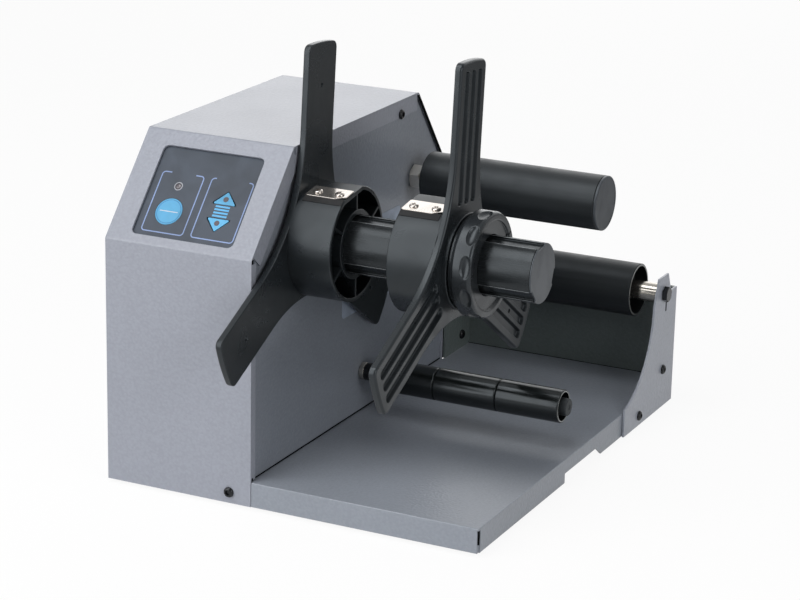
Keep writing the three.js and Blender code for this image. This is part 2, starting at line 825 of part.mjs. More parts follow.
function buildFlange(name, gripName, face, way, boss) {
  const rollFace = armThickness;
  const hubEnd = rollFace + hubLength;
  const span = (near, far) => [face + way * near, face + way * far].sort((p, q) => p - q);
  let flange = spindleCutter(flangeOutline(), 0, face, way, 0, rollFace);
  let hub = rod(...span(rollFace / 2, hubEnd), coreRadius, spindleY, spindleZ, roundSides);
  const hubBore = spindleRadius + seatGap;
  let pocket = ring(
    ...span(rollFace, hubEnd + overlap), hubBore + hubInnerWall, coreRadius - hubWall,
    spindleY, spindleZ, roundSides);
  for (let k = 0; k < hubSpokes; k += 1) {
    const spoke = rectangle(
      -hubSpokeThickness / 2, hubSpokeThickness / 2, hubBore, coreRadius);
    const turn = (2 * Math.PI * k) / hubSpokes;
    pocket = pocket.subtract(
      spindleCutter(spoke, turn, face, way, rollFace - overlap, hubEnd + 2 * overlap));
  }
  const padTurn = degrees(padLean);
  const padBack = rectangle(-coreRadius, coreRadius, padReach - padWall, coreRadius + overlap);
  pocket = pocket.subtract(
    spindleCutter(padBack, padTurn, face, way, rollFace - overlap, hubEnd + 2 * overlap));
  hub = hub.subtract(pocket);
  const padCut = rectangle(-coreRadius, coreRadius, padReach, coreRadius + overlap);
  hub = hub.subtract(spindleCutter(padCut, padTurn, face, way, rollFace, hubEnd + overlap));
  flange = flange.add(hub);
  if (boss) {
    const [low, high] = span(-bossHeight, rollFace / 2);
    flange = flange.add(rod(low, high, bossRadius, spindleY, spindleZ, roundSides));
  }
  for (let k = 0; k < armCount; k += 1) {
    const turn = degrees(armLean) + (2 * Math.PI * k) / armCount;
    for (let i = 0; i < ribGrooves; i += 1) {
      const middle = (i - (ribGrooves - 1) / 2) * ribPitch;
      const half = ribGrooveWidth / 2;
      const groove = rectangle(
        middle - half, middle + half, ribGrooveStart, ribGrooveEnd, half * 0.98, 2);
      flange = flange.subtract(
        spindleCutter(groove, turn, face, way, -overlap, ribGrooveDepth));
    }
    const pin = circleOutline(0, pinHoleReach, pinHoleRadius, 8);
    flange = flange.subtract(
      spindleCutter(pin, turn, face, way, -overlap, rollFace + overlap));
  }
  flange = flange.subtract(rod(
    ...span(-bossHeight - overlap, hubEnd + overlap), hubBore, spindleY, spindleZ, roundSides));
  addPiece(name, flange, 'moulding');

  // The two grip plates are alike: each has its right front corner cut off
  const gripFar = hubEnd - gripEndInset;
  const [gripLeft, gripRight] = span(gripFar - gripLength, gripFar);
  const gripFront = -gripForward - gripWidth / 2;
  const plate = extrude(new THREE.Shape([
    new THREE.Vector2(gripLeft, gripFront),
    new THREE.Vector2(gripRight - gripChamferLength, gripFront),
    new THREE.Vector2(gripRight, gripFront + gripChamferWidth),
    new THREE.Vector2(gripRight, gripFront + gripWidth),
    new THREE.Vector2(gripLeft, gripFront + gripWidth),
  ]), gripThickness);
  plate.translate(0, 0, padReach + seatGap);
  plate.rotateX(padTurn);
  plate.translate(0, spindleY, spindleZ);
  const grip = toSolid(plate);
  addPiece(gripName, grip, 'steel');
}

function buildSpindle() {
  const capInner = spindleEnd - spindleCapThickness;
  const tubeEnd = capInner - seatGap;
  const bore = spindleRadius - spindleWall;
  let tube = turned([
    [spindleStart, shaftRadius + seatGap],
    [spindleStart, spindleRadius],
    [tubeEnd, spindleRadius],
    [tubeEnd, bore],
    [spindleHubLength, bore],
    [spindleHubLength, shaftRadius + seatGap],
  ], spindleY, spindleZ);
  for (let k = 0; k < spindleGrooves; k += 1) {
    const turn = degrees(spindleGrooveLean) + (2 * Math.PI * k) / spindleGrooves;
    const half = spindleGrooveWidth / 2;
    const groove = rectangle(-half, half, spindleRadius - spindleGrooveDepth, spindleRadius + overlap);
    tube = tube.subtract(
      spindleCutter(groove, turn, spindleStart, 1, -overlap, tubeEnd - spindleStart + overlap));
  }
  addPiece('spindle_tube', tube, 'darkMetal');

  const plug = capInner - spindleCapPlug;
  let cap = turned([
    [plug, 0],
    [plug, bore - seatGap],
    [capInner, bore - seatGap],
    [capInner, spindleRadius],
    [spindleEnd - 0.5, spindleRadius],
    [spindleEnd, spindleRadius - 0.5],
    [spindleEnd, 0],
  ], spindleY, spindleZ);
  const slit = rectangle(
    -spindleCapSlit / 2, spindleCapSlit / 2, spindleRadius - 2 * spindleWall, spindleRadius + overlap);
  cap = cap.subtract(spindleCutter(
    slit, degrees(spindleGrooveLean - 25), capInner, 1, spindleCapThickness / 2,
    spindleCapThickness + overlap));
  addPiece('spindle_cap', cap, 'endCap');

  const shaftInner = motorPlateX - bearingFlange - bearingPocket - 2 * seatGap;
  addPiece('spindle_shaft', rod(
    shaftInner, spindleStart + spindleHubLength - overlap, shaftRadius, spindleY, spindleZ), 'steel');
}

function buildClampNut() {
  const back = outerFlangeFace + armThickness + bossHeight + seatGap;
  const front = back + nutLength;
  const bore = spindleRadius + seatGap;
  const band = back + nutCollarLength + nutShoulder;
  let nut = turned([
    [back, bore],
    [back, nutCollarRadius],
    [back + nutCollarLength, nutCollarRadius],
    [back + nutCollarLength + 0.6, nutRadius - 2],
    [band - 0.8, nutRadius - 1.3],
    [band, nutRadius],
    [front - nutLip, nutRadius],
    [front, nutRadius - nutLip],
    [front, nutFaceRadius],
    [front - nutFaceDepth, nutFaceRadius - 0.4],
    [front - nutFaceDepth, bore],
  ], spindleY, spindleZ);
  for (let k = 0; k < nutFlutes; k += 1) {
    const scoop = new THREE.SphereGeometry(1, 10, 6);
    scoop.scale(nutFluteWidth / 2, nutFluteLength / 2, nutFluteDepth);
    scoop.translate(0, 0, nutRadius);
    scoop.rotateX(degrees(nutFluteStart) + (2 * Math.PI * k) / nutFlutes);
    scoop.translate(front - nutFluteFromFront, spindleY, spindleZ);
    nut = nut.subtract(toSolid(scoop));
  }
  const slit = rectangle(-nutSlitWidth / 2, nutSlitWidth / 2, nutFaceRadius - 2, nutRadius + overlap);
  nut = nut.subtract(spindleCutter(
    slit, degrees(nutSlitLean), front, -1, -overlap, nutFaceDepth + nutLip));
  addPiece('clamp_nut', nut, 'moulding');
}

function buildTopRoller() {
  const [y, z] = [topRollerY, topRollerZ];
  const bore = rollerRadius - topRollerWall;
  const capInner = rollerEnd - topCapThickness;
  const tubeEnd = capInner - seatGap;
  addPiece('top_roller_tube', ring(
    rollerStart, tubeEnd, bore, rollerRadius, y, z, roundSides), 'gloss');
  addPiece('top_roller_cap', turned([
    [capInner - topCapPlug, 0],
    [capInner - topCapPlug, bore - seatGap],
    [capInner, bore - seatGap],
    [capInner, rollerRadius],
    [rollerEnd - 0.6, rollerRadius],
    [rollerEnd, rollerRadius - 0.6],
    [rollerEnd, 0],
  ], y, z), 'endCap');
  const bushes = {
    top_roller_bush_inner: rollerStart + bushRecess,
    top_roller_bush_outer: capInner - topCapPlug - seatGap - bushLength,
  };
  for (const [name, from] of Object.entries(bushes)) {
    addPiece(name, ring(
      from, from + bushLength, studRadius + seatGap, bore - seatGap, y, z), 'nylon');
  }
  const studEnd = bushes.top_roller_bush_outer + bushLength - overlap;
  addPiece('top_roller_stud', rod(
    sidePlateInner - studInside, studEnd, studRadius, y, z), 'steel');
  const nutPlaces = {
    top_roller_nut: sidePlateOuter + seatGap,
    top_roller_lock_nut: sidePlateInner - seatGap - studNutLength,
  };
  for (const [name, from] of Object.entries(nutPlaces)) {
    const nut = hexRod(from, from + studNutLength, nutFlats, y, z);
    const hole = rod(from - overlap, from + studNutLength + overlap, studRadius + seatGap, y, z);
    addPiece(name, nut.subtract(hole), 'steel');
  }
}

function buildLowerRoller() {
  const [y, z] = [lowerRollerY, lowerRollerZ];
  const bore = rollerRadius - lowerRollerWall;
  addPiece('lower_roller_tube', ring(
    rollerStart, rollerEnd, bore, rollerRadius, y, z, roundSides), 'gloss');
  const bushes = {
    lower_roller_bush_inner: rollerStart + bushRecess,
    lower_roller_bush_outer: rollerEnd - lowerBushRecess - bushLength,
  };
  for (const [name, from] of Object.entries(bushes)) {
    addPiece(name, ring(
      from, from + bushLength, lowerShaftRadius + seatGap, bore - seatGap, y, z), 'nylon');
  }
  const shaftFrom = sheet + 2 * seatGap;
  const shaftTo = bracketInner - seatGap;
  const tapping = shaftScrewRadius + seatGap;
  const tapDepth = shaftScrewLength + overlap;
  let shaft = rod(shaftFrom, shaftTo, lowerShaftRadius, y, z);
  shaft = shaft.subtract(rod(shaftFrom - overlap, shaftFrom + tapDepth, tapping, y, z, screwSides));
  shaft = shaft.subtract(rod(shaftTo - tapDepth, shaftTo + overlap, tapping, y, z, screwSides));
  addPiece('lower_roller_shaft', shaft, 'steel');
  const headRight = bracketOuter + seatGap;
  const right = hexRod(headRight, headRight + screwHeadLength, screwHeadFlats, y, z)
    .add(rod(shaftTo - shaftScrewLength, headRight + overlap, shaftScrewRadius, y, z, screwSides));
  addPiece('lower_shaft_screw_right', right, 'darkMetal');
  const left = hexRod(-screwHeadLength, 0, screwHeadFlats, y, z)
    .add(rod(-overlap, shaftFrom + shaftScrewLength, shaftScrewRadius, y, z, screwSides));
  addPiece('lower_shaft_screw_left', left, 'darkMetal');
}

function buildGuide() {
  const [y, z] = [guideY, guideZ];
  const pitch = guideSleeveLength + seatGap;
  const bore = guideSleeveRadius - guideSleeveWall;
  for (let k = 0; k < guideSleeves; k += 1) {
    const from = guideStart + k * pitch;
    const to = from + guideSleeveLength;
    const middle = (from + to) / 2;
    addPiece(`guide_sleeve_${k + 1}`, turned([
      [from, bore],
      [from, guideSleeveRadius - 0.5],
      [from + 0.5, guideSleeveRadius],
      [to - 0.5, guideSleeveRadius],
      [to, guideSleeveRadius - 0.5],
      [to, bore],
      [middle + guideSleeveWeb / 2, bore],
      [middle + guideSleeveWeb / 2, guideShaftRadius + seatGap],
      [middle - guideSleeveWeb / 2, guideShaftRadius + seatGap],
      [middle - guideSleeveWeb / 2, bore],
    ], y, z, smallSides), 'gloss');
  }
  const sleevesEnd = guideStart + guideSleeves * pitch - seatGap;
  const shaftEnd = sleevesEnd - overlap;
  addPiece('guide_shaft', rod(
    sidePlateInner - guideShaftInside, shaftEnd, guideShaftRadius, y, z), 'steel');
  const spacer = ring(
    sidePlateOuter + seatGap, guideStart - seatGap, guideShaftRadius + seatGap,
    guideSpacerRadius, y, z);
  addPiece('guide_spacer', spacer, 'darkMetal');
  const capBack = shaftEnd - 2;
  addPiece('guide_end_cap', turned([
    [shaftEnd + seatGap, 0],
    [shaftEnd + seatGap, guideShaftRadius + seatGap],
    [capBack, guideShaftRadius + seatGap],
    [capBack, guideCapRadius],
    [capBack + guideCapLength - 0.8, guideCapRadius],
    [capBack + guideCapLength, guideCapRadius - 0.8],
    [capBack + guideCapLength, 0],
  ], y, z, smallSides), 'rubber');
  const nutFrom = sidePlateInner - seatGap - studNutLength;
  const nut = hexRod(nutFrom, nutFrom + studNutLength, nutFlats, y, z)
    .subtract(rod(nutFrom - overlap, nutFrom + studNutLength + overlap,
      guideShaftRadius + seatGap, y, z));
  addPiece('guide_shaft_nut', nut, 'steel');
}

// Bearing housing bolted to a wall at `wall`, reaching away from it along -X
function buildBearing(housingName, bearingName, wall) {
  const [y, z] = [spindleY, spindleZ];
  const from = wall - seatGap;
  const pocketStart = from - bearingFlange;
  const end = pocketStart - bearingPocket;
  const pocket = bearingRadius + seatGap;
  addPiece(housingName, turned([
    [from, shaftRadius + 2],
    [from, bearingFlangeRadius],
    [pocketStart, bearingFlangeRadius],
    [pocketStart, pocket + bearingBossWall],
    [end, pocket + bearingBossWall],
    [end, pocket],
    [pocketStart, pocket],
    [pocketStart, shaftRadius + 2],
  ], y, z, smallSides), 'aluminium');
  const bearingFrom = pocketStart - seatGap - bearingWidth;
  addPiece(bearingName, ring(
    bearingFrom, bearingFrom + bearingWidth, shaftRadius + seatGap, bearingRadius, y, z), 'steel');
}

function pulley(radius, bore, y, z) {
  const to = pulleyX + pulleyWidth;
  return turned([
    [pulleyX, bore],
    [pulleyX, radius + pulleyLipHeight],
    [pulleyX + pulleyLip, radius + pulleyLipHeight],
    [pulleyX + pulleyLip, radius],
    [to - pulleyLip, radius],
    [to - pulleyLip, radius + pulleyLipHeight],
    [to, radius + pulleyLipHeight],
    [to, bore],
  ], y, z, smallSides);
}

function beltOutline(extra) {
  const one = new THREE.Vector2(spindleY, spindleZ);
  const two = new THREE.Vector2(motorY, motorZ);
  const big = spindlePulleyRadius + extra;
  const small = motorPulleyRadius + extra;
  const line = two.clone().sub(one);
  const heading = Math.atan2(line.y, line.x);
  const lean = Math.acos((big - small) / line.length());
  const sweep = (centre, radius, from, to, steps) => Array.from({ length: steps + 1 }, (_, k) => {
    const angle = from + ((to - from) * k) / steps;
    return new THREE.Vector2(centre.x + radius * Math.cos(angle), centre.y + radius * Math.sin(angle));
  });
  return [
    ...sweep(one, big, heading + lean, heading + 2 * Math.PI - lean, 16),
    ...sweep(two, small, heading - lean, heading + lean, 8),
  ];
}

function buildDrive() {
  const plateRight = motorPlateX + motorPlateThickness;
  const plateFront = spindleY - bearingFlangeRadius + motorPlateRim / 2;
  const plateTop = spindleZ + bearingFlangeRadius + motorPlateRim;
  const bigCorner = motorPlateCorner * 1.5;
  const plateOutline = roundedOutline([
    [plateFront, standOnTray],
    [motorPlateBack, standOnTray],
    [motorPlateBack, motorZ + gearboxSide / 2 + 2 * motorPlateRim, motorPlateCorner],
    [spindleY + bearingFlangeRadius, plateTop, bigCorner],
    [spindleY - bearingFlangeRadius + motorPlateRim, plateTop, bigCorner],
    [plateFront, spindleZ - bearingFlangeRadius / 3, motorPlateCorner],
  ]);
  let plate = extrudeX(plateOutline, motorPlateX, plateRight);
  plate = plate.add(box(
    motorPlateX - motorPlateFoot, plateRight, plateFront, motorPlateBack, standOnTray,
    standOnTray + motorPlateThickness));
  const through = [motorPlateX - overlap, plateRight + overlap];
  plate = plate.subtract(rod(...through, shaftRadius + bearingBossWall, spindleY, spindleZ));
  plate = plate.subtract(rod(...through, outputRadius + bearingBossWall, motorY, motorZ));
  addPiece('motor_plate', plate, 'steel');

  buildBearing('outer_bearing_housing', 'outer_bearing', sidePlateInner);
  buildBearing('inner_bearing_housing', 'inner_bearing', motorPlateX);
  addPiece('spindle_pulley', pulley(
    spindlePulleyRadius, shaftRadius + seatGap, spindleY, spindleZ), 'aluminium');
  addPiece('motor_pulley', pulley(
    motorPulleyRadius, outputRadius + seatGap, motorY, motorZ), 'aluminium');
  const beltShape = new THREE.Shape(beltOutline(seatGap + beltThickness));
  beltShape.holes.push(new THREE.Path(beltOutline(seatGap)));
  const beltFrom = pulleyX + (pulleyWidth - beltWidth) / 2;
  addPiece('drive_belt', extrudeX(beltShape, beltFrom, beltFrom + beltWidth), 'rubber');

  const gearboxTo = motorPlateX - seatGap;
  const gearboxFrom = gearboxTo - gearboxLength;
  const half = gearboxSide / 2;
  const gearbox = extrudeX(rectangle(
    motorY - half, motorY + half, motorZ - half, motorZ + half, gearboxCorner),
  gearboxFrom, gearboxTo).subtract(rod(
    gearboxFrom + 4, gearboxTo + overlap, outputRadius + seatGap, motorY, motorZ));
  addPiece('gearbox', gearbox, 'aluminium');
  addPiece('output_shaft', rod(
    gearboxFrom + 4 + seatGap, pulleyX + pulleyWidth, outputRadius, motorY, motorZ), 'steel');
  const canTo = gearboxFrom - seatGap;
  addPiece('motor_can', turned([
    [canTo - motorLength, 0],
    [canTo - motorLength, motorRadius - 3],
    [canTo - motorLength + 3, motorRadius],
    [canTo, motorRadius],
    [canTo, 0],
  ], motorY, motorZ, smallSides), 'steel');
}

function buildElectrics() {
  const base = standOnTray;
  const core = box(
    transformerX - transformerWidth / 2, transformerX + transformerWidth / 2,
    transformerY - transformerDepth / 2, transformerY + transformerDepth / 2,
    base, base + transformerHeight);
  const coilMiddle = base + transformerHeight / 2;
  const coil = box(
    transformerX - transformerWidth / 2 - coilBulge, transformerX + transformerWidth / 2 + coilBulge,
    transformerY - transformerDepth / 3, transformerY + transformerDepth / 3,
    coilMiddle - coilHeight / 2, coilMiddle + coilHeight / 2);
  addPiece('transformer', core.add(coil), 'copper');

  const [left, right] = [boardCentreX - boardWidth / 2, boardCentreX + boardWidth / 2];
  const near = motorPlateBack + boardGap;
  const far = near + boardDepth;
  let carrier = box(left, right, near, far, base, base + carrierThickness);
  const postTop = base + carrierThickness + postHeight;
  for (const x of [left + 2 * postRadius, right - 2 * postRadius]) {
    for (const y of [near + 2 * postRadius, far - 2 * postRadius]) {
      const post = extrudeZ(circleOutline(x, y, postRadius, 8), base + carrierThickness / 2, postTop);
      carrier = carrier.add(post);
    }
  }
  addPiece('board_carrier', carrier, 'nylon');
  const boardBottom = postTop + seatGap;
  const boardTop = boardBottom + boardThickness;
  const buried = boardBottom + boardThickness / 2;
  let board = box(left, right, near, far, boardBottom, boardTop);
  board = board.add(box(left + 8, left + 24, near + 6, near + 30, buried, boardTop + partHeight));
  board = board.add(box(left + 34, left + 58, near + 12, near + 26, buried, boardTop + partHeight / 3));
  board = board.add(box(right - 18, right - 8, near + 5, far - 12, buried, boardTop + partHeight / 2));
  board = board.add(extrudeZ(
    circleOutline(left + 44, far - 10, 6, screwSides), buried, boardTop + partHeight));
  addPiece('control_board', board, 'board');

  const back = housingDepth;
  const rimFrom = back + seatGap;
  const rimTo = rimFrom + 2;
  const halfW = socketWidth / 2;
  const halfH = socketHeight / 2;
  let socket = box(
    socketX - halfW, socketX + halfW, back - socketDepth, rimTo - 1,
    socketZ - halfH, socketZ + halfH);
  socket = socket.add(box(
    socketX - halfW - socketRim, socketX + halfW + socketRim, rimFrom, rimTo,
    socketZ - halfH - socketRim, socketZ + halfH + socketRim));
  const well = roundedOutline([
    [socketX - halfW + socketWall, socketZ - halfH + socketWall, 1],
    [socketX + halfW - socketWall, socketZ - halfH + socketWall, 1],
    [socketX + halfW - socketWall, socketZ + halfH - socketWall - 4],
    [socketX + halfW - socketWall - 4, socketZ + halfH - socketWall],
    [socketX - halfW + socketWall + 4, socketZ + halfH - socketWall],
    [socketX - halfW + socketWall, socketZ + halfH - socketWall - 4],
  ]);
  socket = socket.subtract(extrudeY(well, back - socketDepth + 4, rimTo + overlap));
  for (const [dx, dz] of [[-7, -2], [0, 2], [7, -2]]) {
    socket = socket.add(box(
      socketX + dx - 1, socketX + dx + 1, back - socketDepth + 2, back - 3,
      socketZ + dz - 2, socketZ + dz + 2));
  }
  addPiece('power_inlet', socket, 'rubber');

  const wHalf = switchWidth / 2;
  const hHalf = rockerFrameHeight / 2;
  let body = box(
    switchX - wHalf, switchX + wHalf, back - switchDepth, rimTo - 1,
    socketZ - hHalf, socketZ + hHalf);
  body = body.add(box(
    switchX - wHalf - 2, switchX + wHalf + 2, rimFrom, rimTo,
    socketZ - hHalf - 2, socketZ + hHalf + 2));
  const bodyWall = 1.5;
  const swing = rockerDepth + 2;
  body = body.subtract(box(
    switchX - wHalf + bodyWall, switchX + wHalf - bodyWall, rimTo - swing, rimTo + overlap,
    socketZ - hHalf + bodyWall, socketZ + hHalf - bodyWall));
  addPiece('switch_body', body, 'rubber');
  const reach = hHalf - bodyWall - 2 * seatGap - 0.6;
  const slant = reach * Math.tan(degrees(rockerTilt));
  const pivot = rimTo - rockerDepth / 2;
  const rocker = new THREE.Shape([
    new THREE.Vector2(pivot - 2.6, socketZ - reach * 0.55),
    new THREE.Vector2(rimTo + slant, socketZ - reach),
    new THREE.Vector2(rimTo + 0.2, socketZ),
    new THREE.Vector2(rimTo - slant * 0.2, socketZ + reach),
    new THREE.Vector2(pivot - 2.6, socketZ + reach * 0.55),
  ]);
  addPiece('switch_rocker', extrudeX(
    rocker, switchX - wHalf + bodyWall + seatGap, switchX + wHalf - bodyWall - seatGap), 'darkMetal');
}

buildCover();
buildSidePlate();
buildTray();
buildFeet();
buildRearWall();
buildBracket();
buildPanel();
buildFlange('inner_flange', 'inner_grip_plate', innerFlangeFace - armThickness, 1, false);
buildFlange('outer_flange', 'outer_grip_plate', outerFlangeFace + armThickness, -1, true);
buildSpindle();
buildClampNut();
buildTopRoller();
buildLowerRoller();
buildGuide();
buildDrive();
buildElectrics();

// The model stands on its feet, with the origin under the middle of its box
const group = new THREE.Group();
group.add(model);
const bounds = new THREE.Box3().setFromObject(model, true);
const middle = bounds.getCenter(new THREE.Vector3());
model.position.set(-middle.x, -middle.y, -bounds.min.z);

export default group;
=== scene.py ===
import json
import math

import bmesh
import bpy
from mathutils import Matrix, Vector

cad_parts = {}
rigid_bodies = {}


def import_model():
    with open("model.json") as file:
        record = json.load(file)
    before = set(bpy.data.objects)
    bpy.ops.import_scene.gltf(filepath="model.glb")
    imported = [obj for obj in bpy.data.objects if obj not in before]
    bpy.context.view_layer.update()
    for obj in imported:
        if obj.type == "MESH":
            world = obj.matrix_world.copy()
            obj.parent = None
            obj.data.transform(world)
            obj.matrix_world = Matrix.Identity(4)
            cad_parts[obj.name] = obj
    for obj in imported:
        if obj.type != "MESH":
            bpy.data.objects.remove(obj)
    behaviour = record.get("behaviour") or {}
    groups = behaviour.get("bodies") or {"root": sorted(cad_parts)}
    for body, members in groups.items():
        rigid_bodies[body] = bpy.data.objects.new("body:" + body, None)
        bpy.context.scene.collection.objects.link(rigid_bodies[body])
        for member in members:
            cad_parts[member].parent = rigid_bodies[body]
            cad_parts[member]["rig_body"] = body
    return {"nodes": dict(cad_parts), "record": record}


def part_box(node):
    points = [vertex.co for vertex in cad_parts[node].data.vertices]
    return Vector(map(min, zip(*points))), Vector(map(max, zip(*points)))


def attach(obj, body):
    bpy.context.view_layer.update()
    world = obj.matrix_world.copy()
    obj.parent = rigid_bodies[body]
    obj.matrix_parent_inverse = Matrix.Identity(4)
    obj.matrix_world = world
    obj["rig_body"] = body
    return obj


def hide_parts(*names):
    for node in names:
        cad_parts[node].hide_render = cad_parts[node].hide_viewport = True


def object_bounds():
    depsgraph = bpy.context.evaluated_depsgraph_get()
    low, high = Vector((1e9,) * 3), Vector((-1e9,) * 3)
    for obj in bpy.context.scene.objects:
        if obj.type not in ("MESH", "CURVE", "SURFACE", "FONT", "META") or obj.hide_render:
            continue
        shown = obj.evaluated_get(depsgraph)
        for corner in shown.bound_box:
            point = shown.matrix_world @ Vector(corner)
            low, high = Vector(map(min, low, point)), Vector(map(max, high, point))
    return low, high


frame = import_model()
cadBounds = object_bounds()
scene = bpy.context.scene
mm = 0.001
nodes = frame["nodes"]
slotOf = {part["node"]: part["material_slot"] for part in frame["record"]["subparts"]}
coverLow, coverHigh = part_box("cover")
home = Vector((coverHigh.x, coverLow.y, coverLow.z))  # the housing's right face, front and lower rim
toRow = Matrix.Translation(home) @ Matrix.Diagonal((mm, mm, mm, 1))
print("frame loaded,", len(nodes), "nodes")


def newObject(name, data):
    obj = bpy.data.objects.new(name, data)
    scene.collection.objects.link(obj)
    return obj


# camera at the photograph's angle, in the housing's millimetres; only its clipping is in metres
cameraPlace = {
    "lens": 118.02, "sensor": 36, "azimuth": 25.83, "elevation": 17.32, "roll": 1.23,
    "distance": 1796.41, "target": (25.05, 163.57, 100.06), "clip": (0.05, 60),
}


def addCamera(place):
    a = math.radians(place["azimuth"])
    e = math.radians(place["elevation"])
    back = Vector((math.sin(a) * math.cos(e), -math.cos(a) * math.cos(e), math.sin(e)))
    right = Vector((math.cos(a), math.sin(a), 0))
    up = back.cross(right)
    turn = Matrix.Rotation(math.radians(place["roll"]), 4, "Z")
    basis = Matrix((right, up, back)).transposed().to_4x4()
    data = bpy.data.cameras.new("camera")
    data.lens = place["lens"]
    data.sensor_width = place["sensor"]
    data.clip_start, data.clip_end = place["clip"]
    spot = toRow @ (Vector(place["target"]) + back * place["distance"])
    camera = newObject("camera", data)
    camera.matrix_world = Matrix.Translation(spot) @ basis @ turn
    scene.camera = camera


addCamera(cameraPlace)


# node trees

number = "NodeSocketFloat"
wholeNumber = "NodeSocketInt"
choice = "NodeSocketBool"
colour = "NodeSocketColor"
vector = "NodeSocketVector"
geometry = "NodeSocketGeometry"
finish = "NodeSocketMaterial"


def newTree(kind, name, inputs, outputs):
    # a node tree with named inputs and outputs, and the sockets that stand for them inside it
    tree = bpy.data.node_groups.new(name, kind)
    for label, socketType, value in inputs:
        socket = tree.interface.new_socket(label, in_out="INPUT", socket_type=socketType)
        if value is not None:
            socket.default_value = value
    for label, socketType in outputs:
        tree.interface.new_socket(label, in_out="OUTPUT", socket_type=socketType)
    entry = tree.nodes.new("NodeGroupInput")
    leave = tree.nodes.new("NodeGroupOutput")
    return tree, entry.outputs, leave.inputs


def geometryTree(name, inputs):
    ends = [("Geometry", geometry, None), *inputs, ("Finish", finish, None)]
    return newTree("GeometryNodeTree", name, ends, [("Geometry", geometry)])


def endGeometry(tree, entry, leave, shape):
    whole = addNode(tree, "GeometryNodeRealizeInstances", {0: shape})
    coloured = addNode(tree, "GeometryNodeSetMaterial", {
        "Geometry": whole.outputs[0], "Material": entry["Finish"]})
    tree.links.new(coloured.outputs[0], leave["Geometry"])
    return tree


def addNode(tree, kind, inputs=None, **settings):
    made = tree.nodes.new(kind)
    for key, value in settings.items():
        setattr(made, key, value)
    for key, value in (inputs or {}).items():
        if isinstance(value, bpy.types.NodeSocket):
            tree.links.new(value, made.inputs[key])
        else:
            made.inputs[key].default_value = value
    return made


def maths(tree, operation, first, second=0.0):
    return addNode(tree, "ShaderNodeMath", {0: first, 1: second}, operation=operation).outputs[0]


def vectorMaths(tree, operation, first, second=(0, 0, 0)):
    return addNode(tree, "ShaderNodeVectorMath", {0: first, 1: second}, operation=operation).outputs[0]


def parted(tree, value):
    return addNode(tree, "ShaderNodeSeparateXYZ", {0: value}).outputs


def together(tree, x=0.0, y=0.0, z=0.0):
    return addNode(tree, "ShaderNodeCombineXYZ", {0: x, 1: y, 2: z}).outputs[0]


def squareSum(tree, first, second):
    return maths(tree, "ADD", maths(tree, "POWER", first, 2.0), maths(tree, "POWER", second, 2.0))


def lengthOf(tree, first, second):
    return maths(tree, "SQRT", squareSum(tree, first, second))


def rescale(tree, value, low, high, toLow=0.0, toHigh=1.0):
    made = addNode(tree, "ShaderNodeMapRange", {
        "Value": value, "From Min": low, "From Max": high, "To Min": toLow, "To Max": toHigh})
    return made.outputs["Result"]


def noise(tree, place, scale, detail, roughness=0.5, distortion=0.0):
    return addNode(tree, "ShaderNodeTexNoise", {
        "Vector": place, "Scale": scale, "Detail": detail, "Roughness": roughness,
        "Distortion": distortion}).outputs[0]


def tinted(tree, base, darker, factor):
    shade = (darker, darker, darker, 1)
    return addNode(tree, "ShaderNodeMix", {0: factor, 6: base, 7: shade},
                   data_type="RGBA", blend_type="MULTIPLY").outputs[2]


# surfaces: each takes a colour, a size, a roughness and the amount of its own effect

def surfaceTree(name, sizeLabel, amountLabel, amount):
    tree, entry, leave = newTree("ShaderNodeTree", name, [
        ("Vector", vector, None), ("Colour", colour, (0.5, 0.5, 0.5, 1)), (sizeLabel, number, 0.0003),
        ("Roughness", number, 0.4), (amountLabel, number, amount),
    ], [("Colour", colour), ("Roughness", number), ("Height", number)])
    return tree, entry, leave, maths(tree, "DIVIDE", 1.0, entry[sizeLabel])


def endSurface(tree, entry, leave, tone, swing, relief):
    tree.links.new(tone, leave["Colour"])
    tree.links.new(maths(tree, "ADD", entry["Roughness"], swing), leave["Roughness"])
    tree.links.new(relief, leave["Height"])
    return tree


powderCoat = {
    "hollowShadeAmount": 0.25, "peelRoughness": 0.45, "cellScale": 0.8, "cellSmoothness": 0.6, "cellShare": 0.55,
    "cloudScale": 22.0, "cloudRange": (0.2, 0.8), "cloudTone": 0.96, "cloudSwing": 0.02,
    "hollowShadeRange": (0.42, 0.05), "hollowShadeTone": 0.72,
}


def buildPowderCoat():
    # baked enamel: orange peel, a faint cloudiness, and painted shade darkening the hollows between the
    # bumps
    s = powderCoat
    tree, entry, leave, scale = surfaceTree("powder coat", "Peel Size", "Hollow Shade", s["hollowShadeAmount"])
    peel = noise(tree, entry["Vector"], scale, 2.0, s["peelRoughness"])
    cells = addNode(tree, "ShaderNodeTexVoronoi", {
        "Vector": entry["Vector"], "Scale": maths(tree, "MULTIPLY", scale, s["cellScale"]),
        "Smoothness": s["cellSmoothness"]}, feature="SMOOTH_F1").outputs[0]
    cloud = noise(tree, entry["Vector"], s["cloudScale"], 3.0)
    relief = maths(tree, "SUBTRACT", peel, maths(tree, "MULTIPLY", cells, s["cellShare"]))
    # painted shade: the colour is darkened in the hollows of the peel, where shade would fall
    hollowShade = maths(tree, "MULTIPLY", rescale(tree, relief, *s["hollowShadeRange"]), entry["Hollow Shade"])
    clouded = tinted(tree, entry["Colour"], s["cloudTone"], rescale(tree, cloud, *s["cloudRange"]))
    swing = rescale(tree, cloud, *s["cloudRange"], -s["cloudSwing"], s["cloudSwing"])
    return endSurface(tree, entry, leave, tinted(tree, clouded, s["hollowShadeTone"], hollowShade), swing, relief)


mouldGrain = {
    "smudge": 0.12, "flowScale": 34.0, "flowDistortion": 0.8, "flowRange": (0.38, 0.66), "flowTone": 0.7,
}


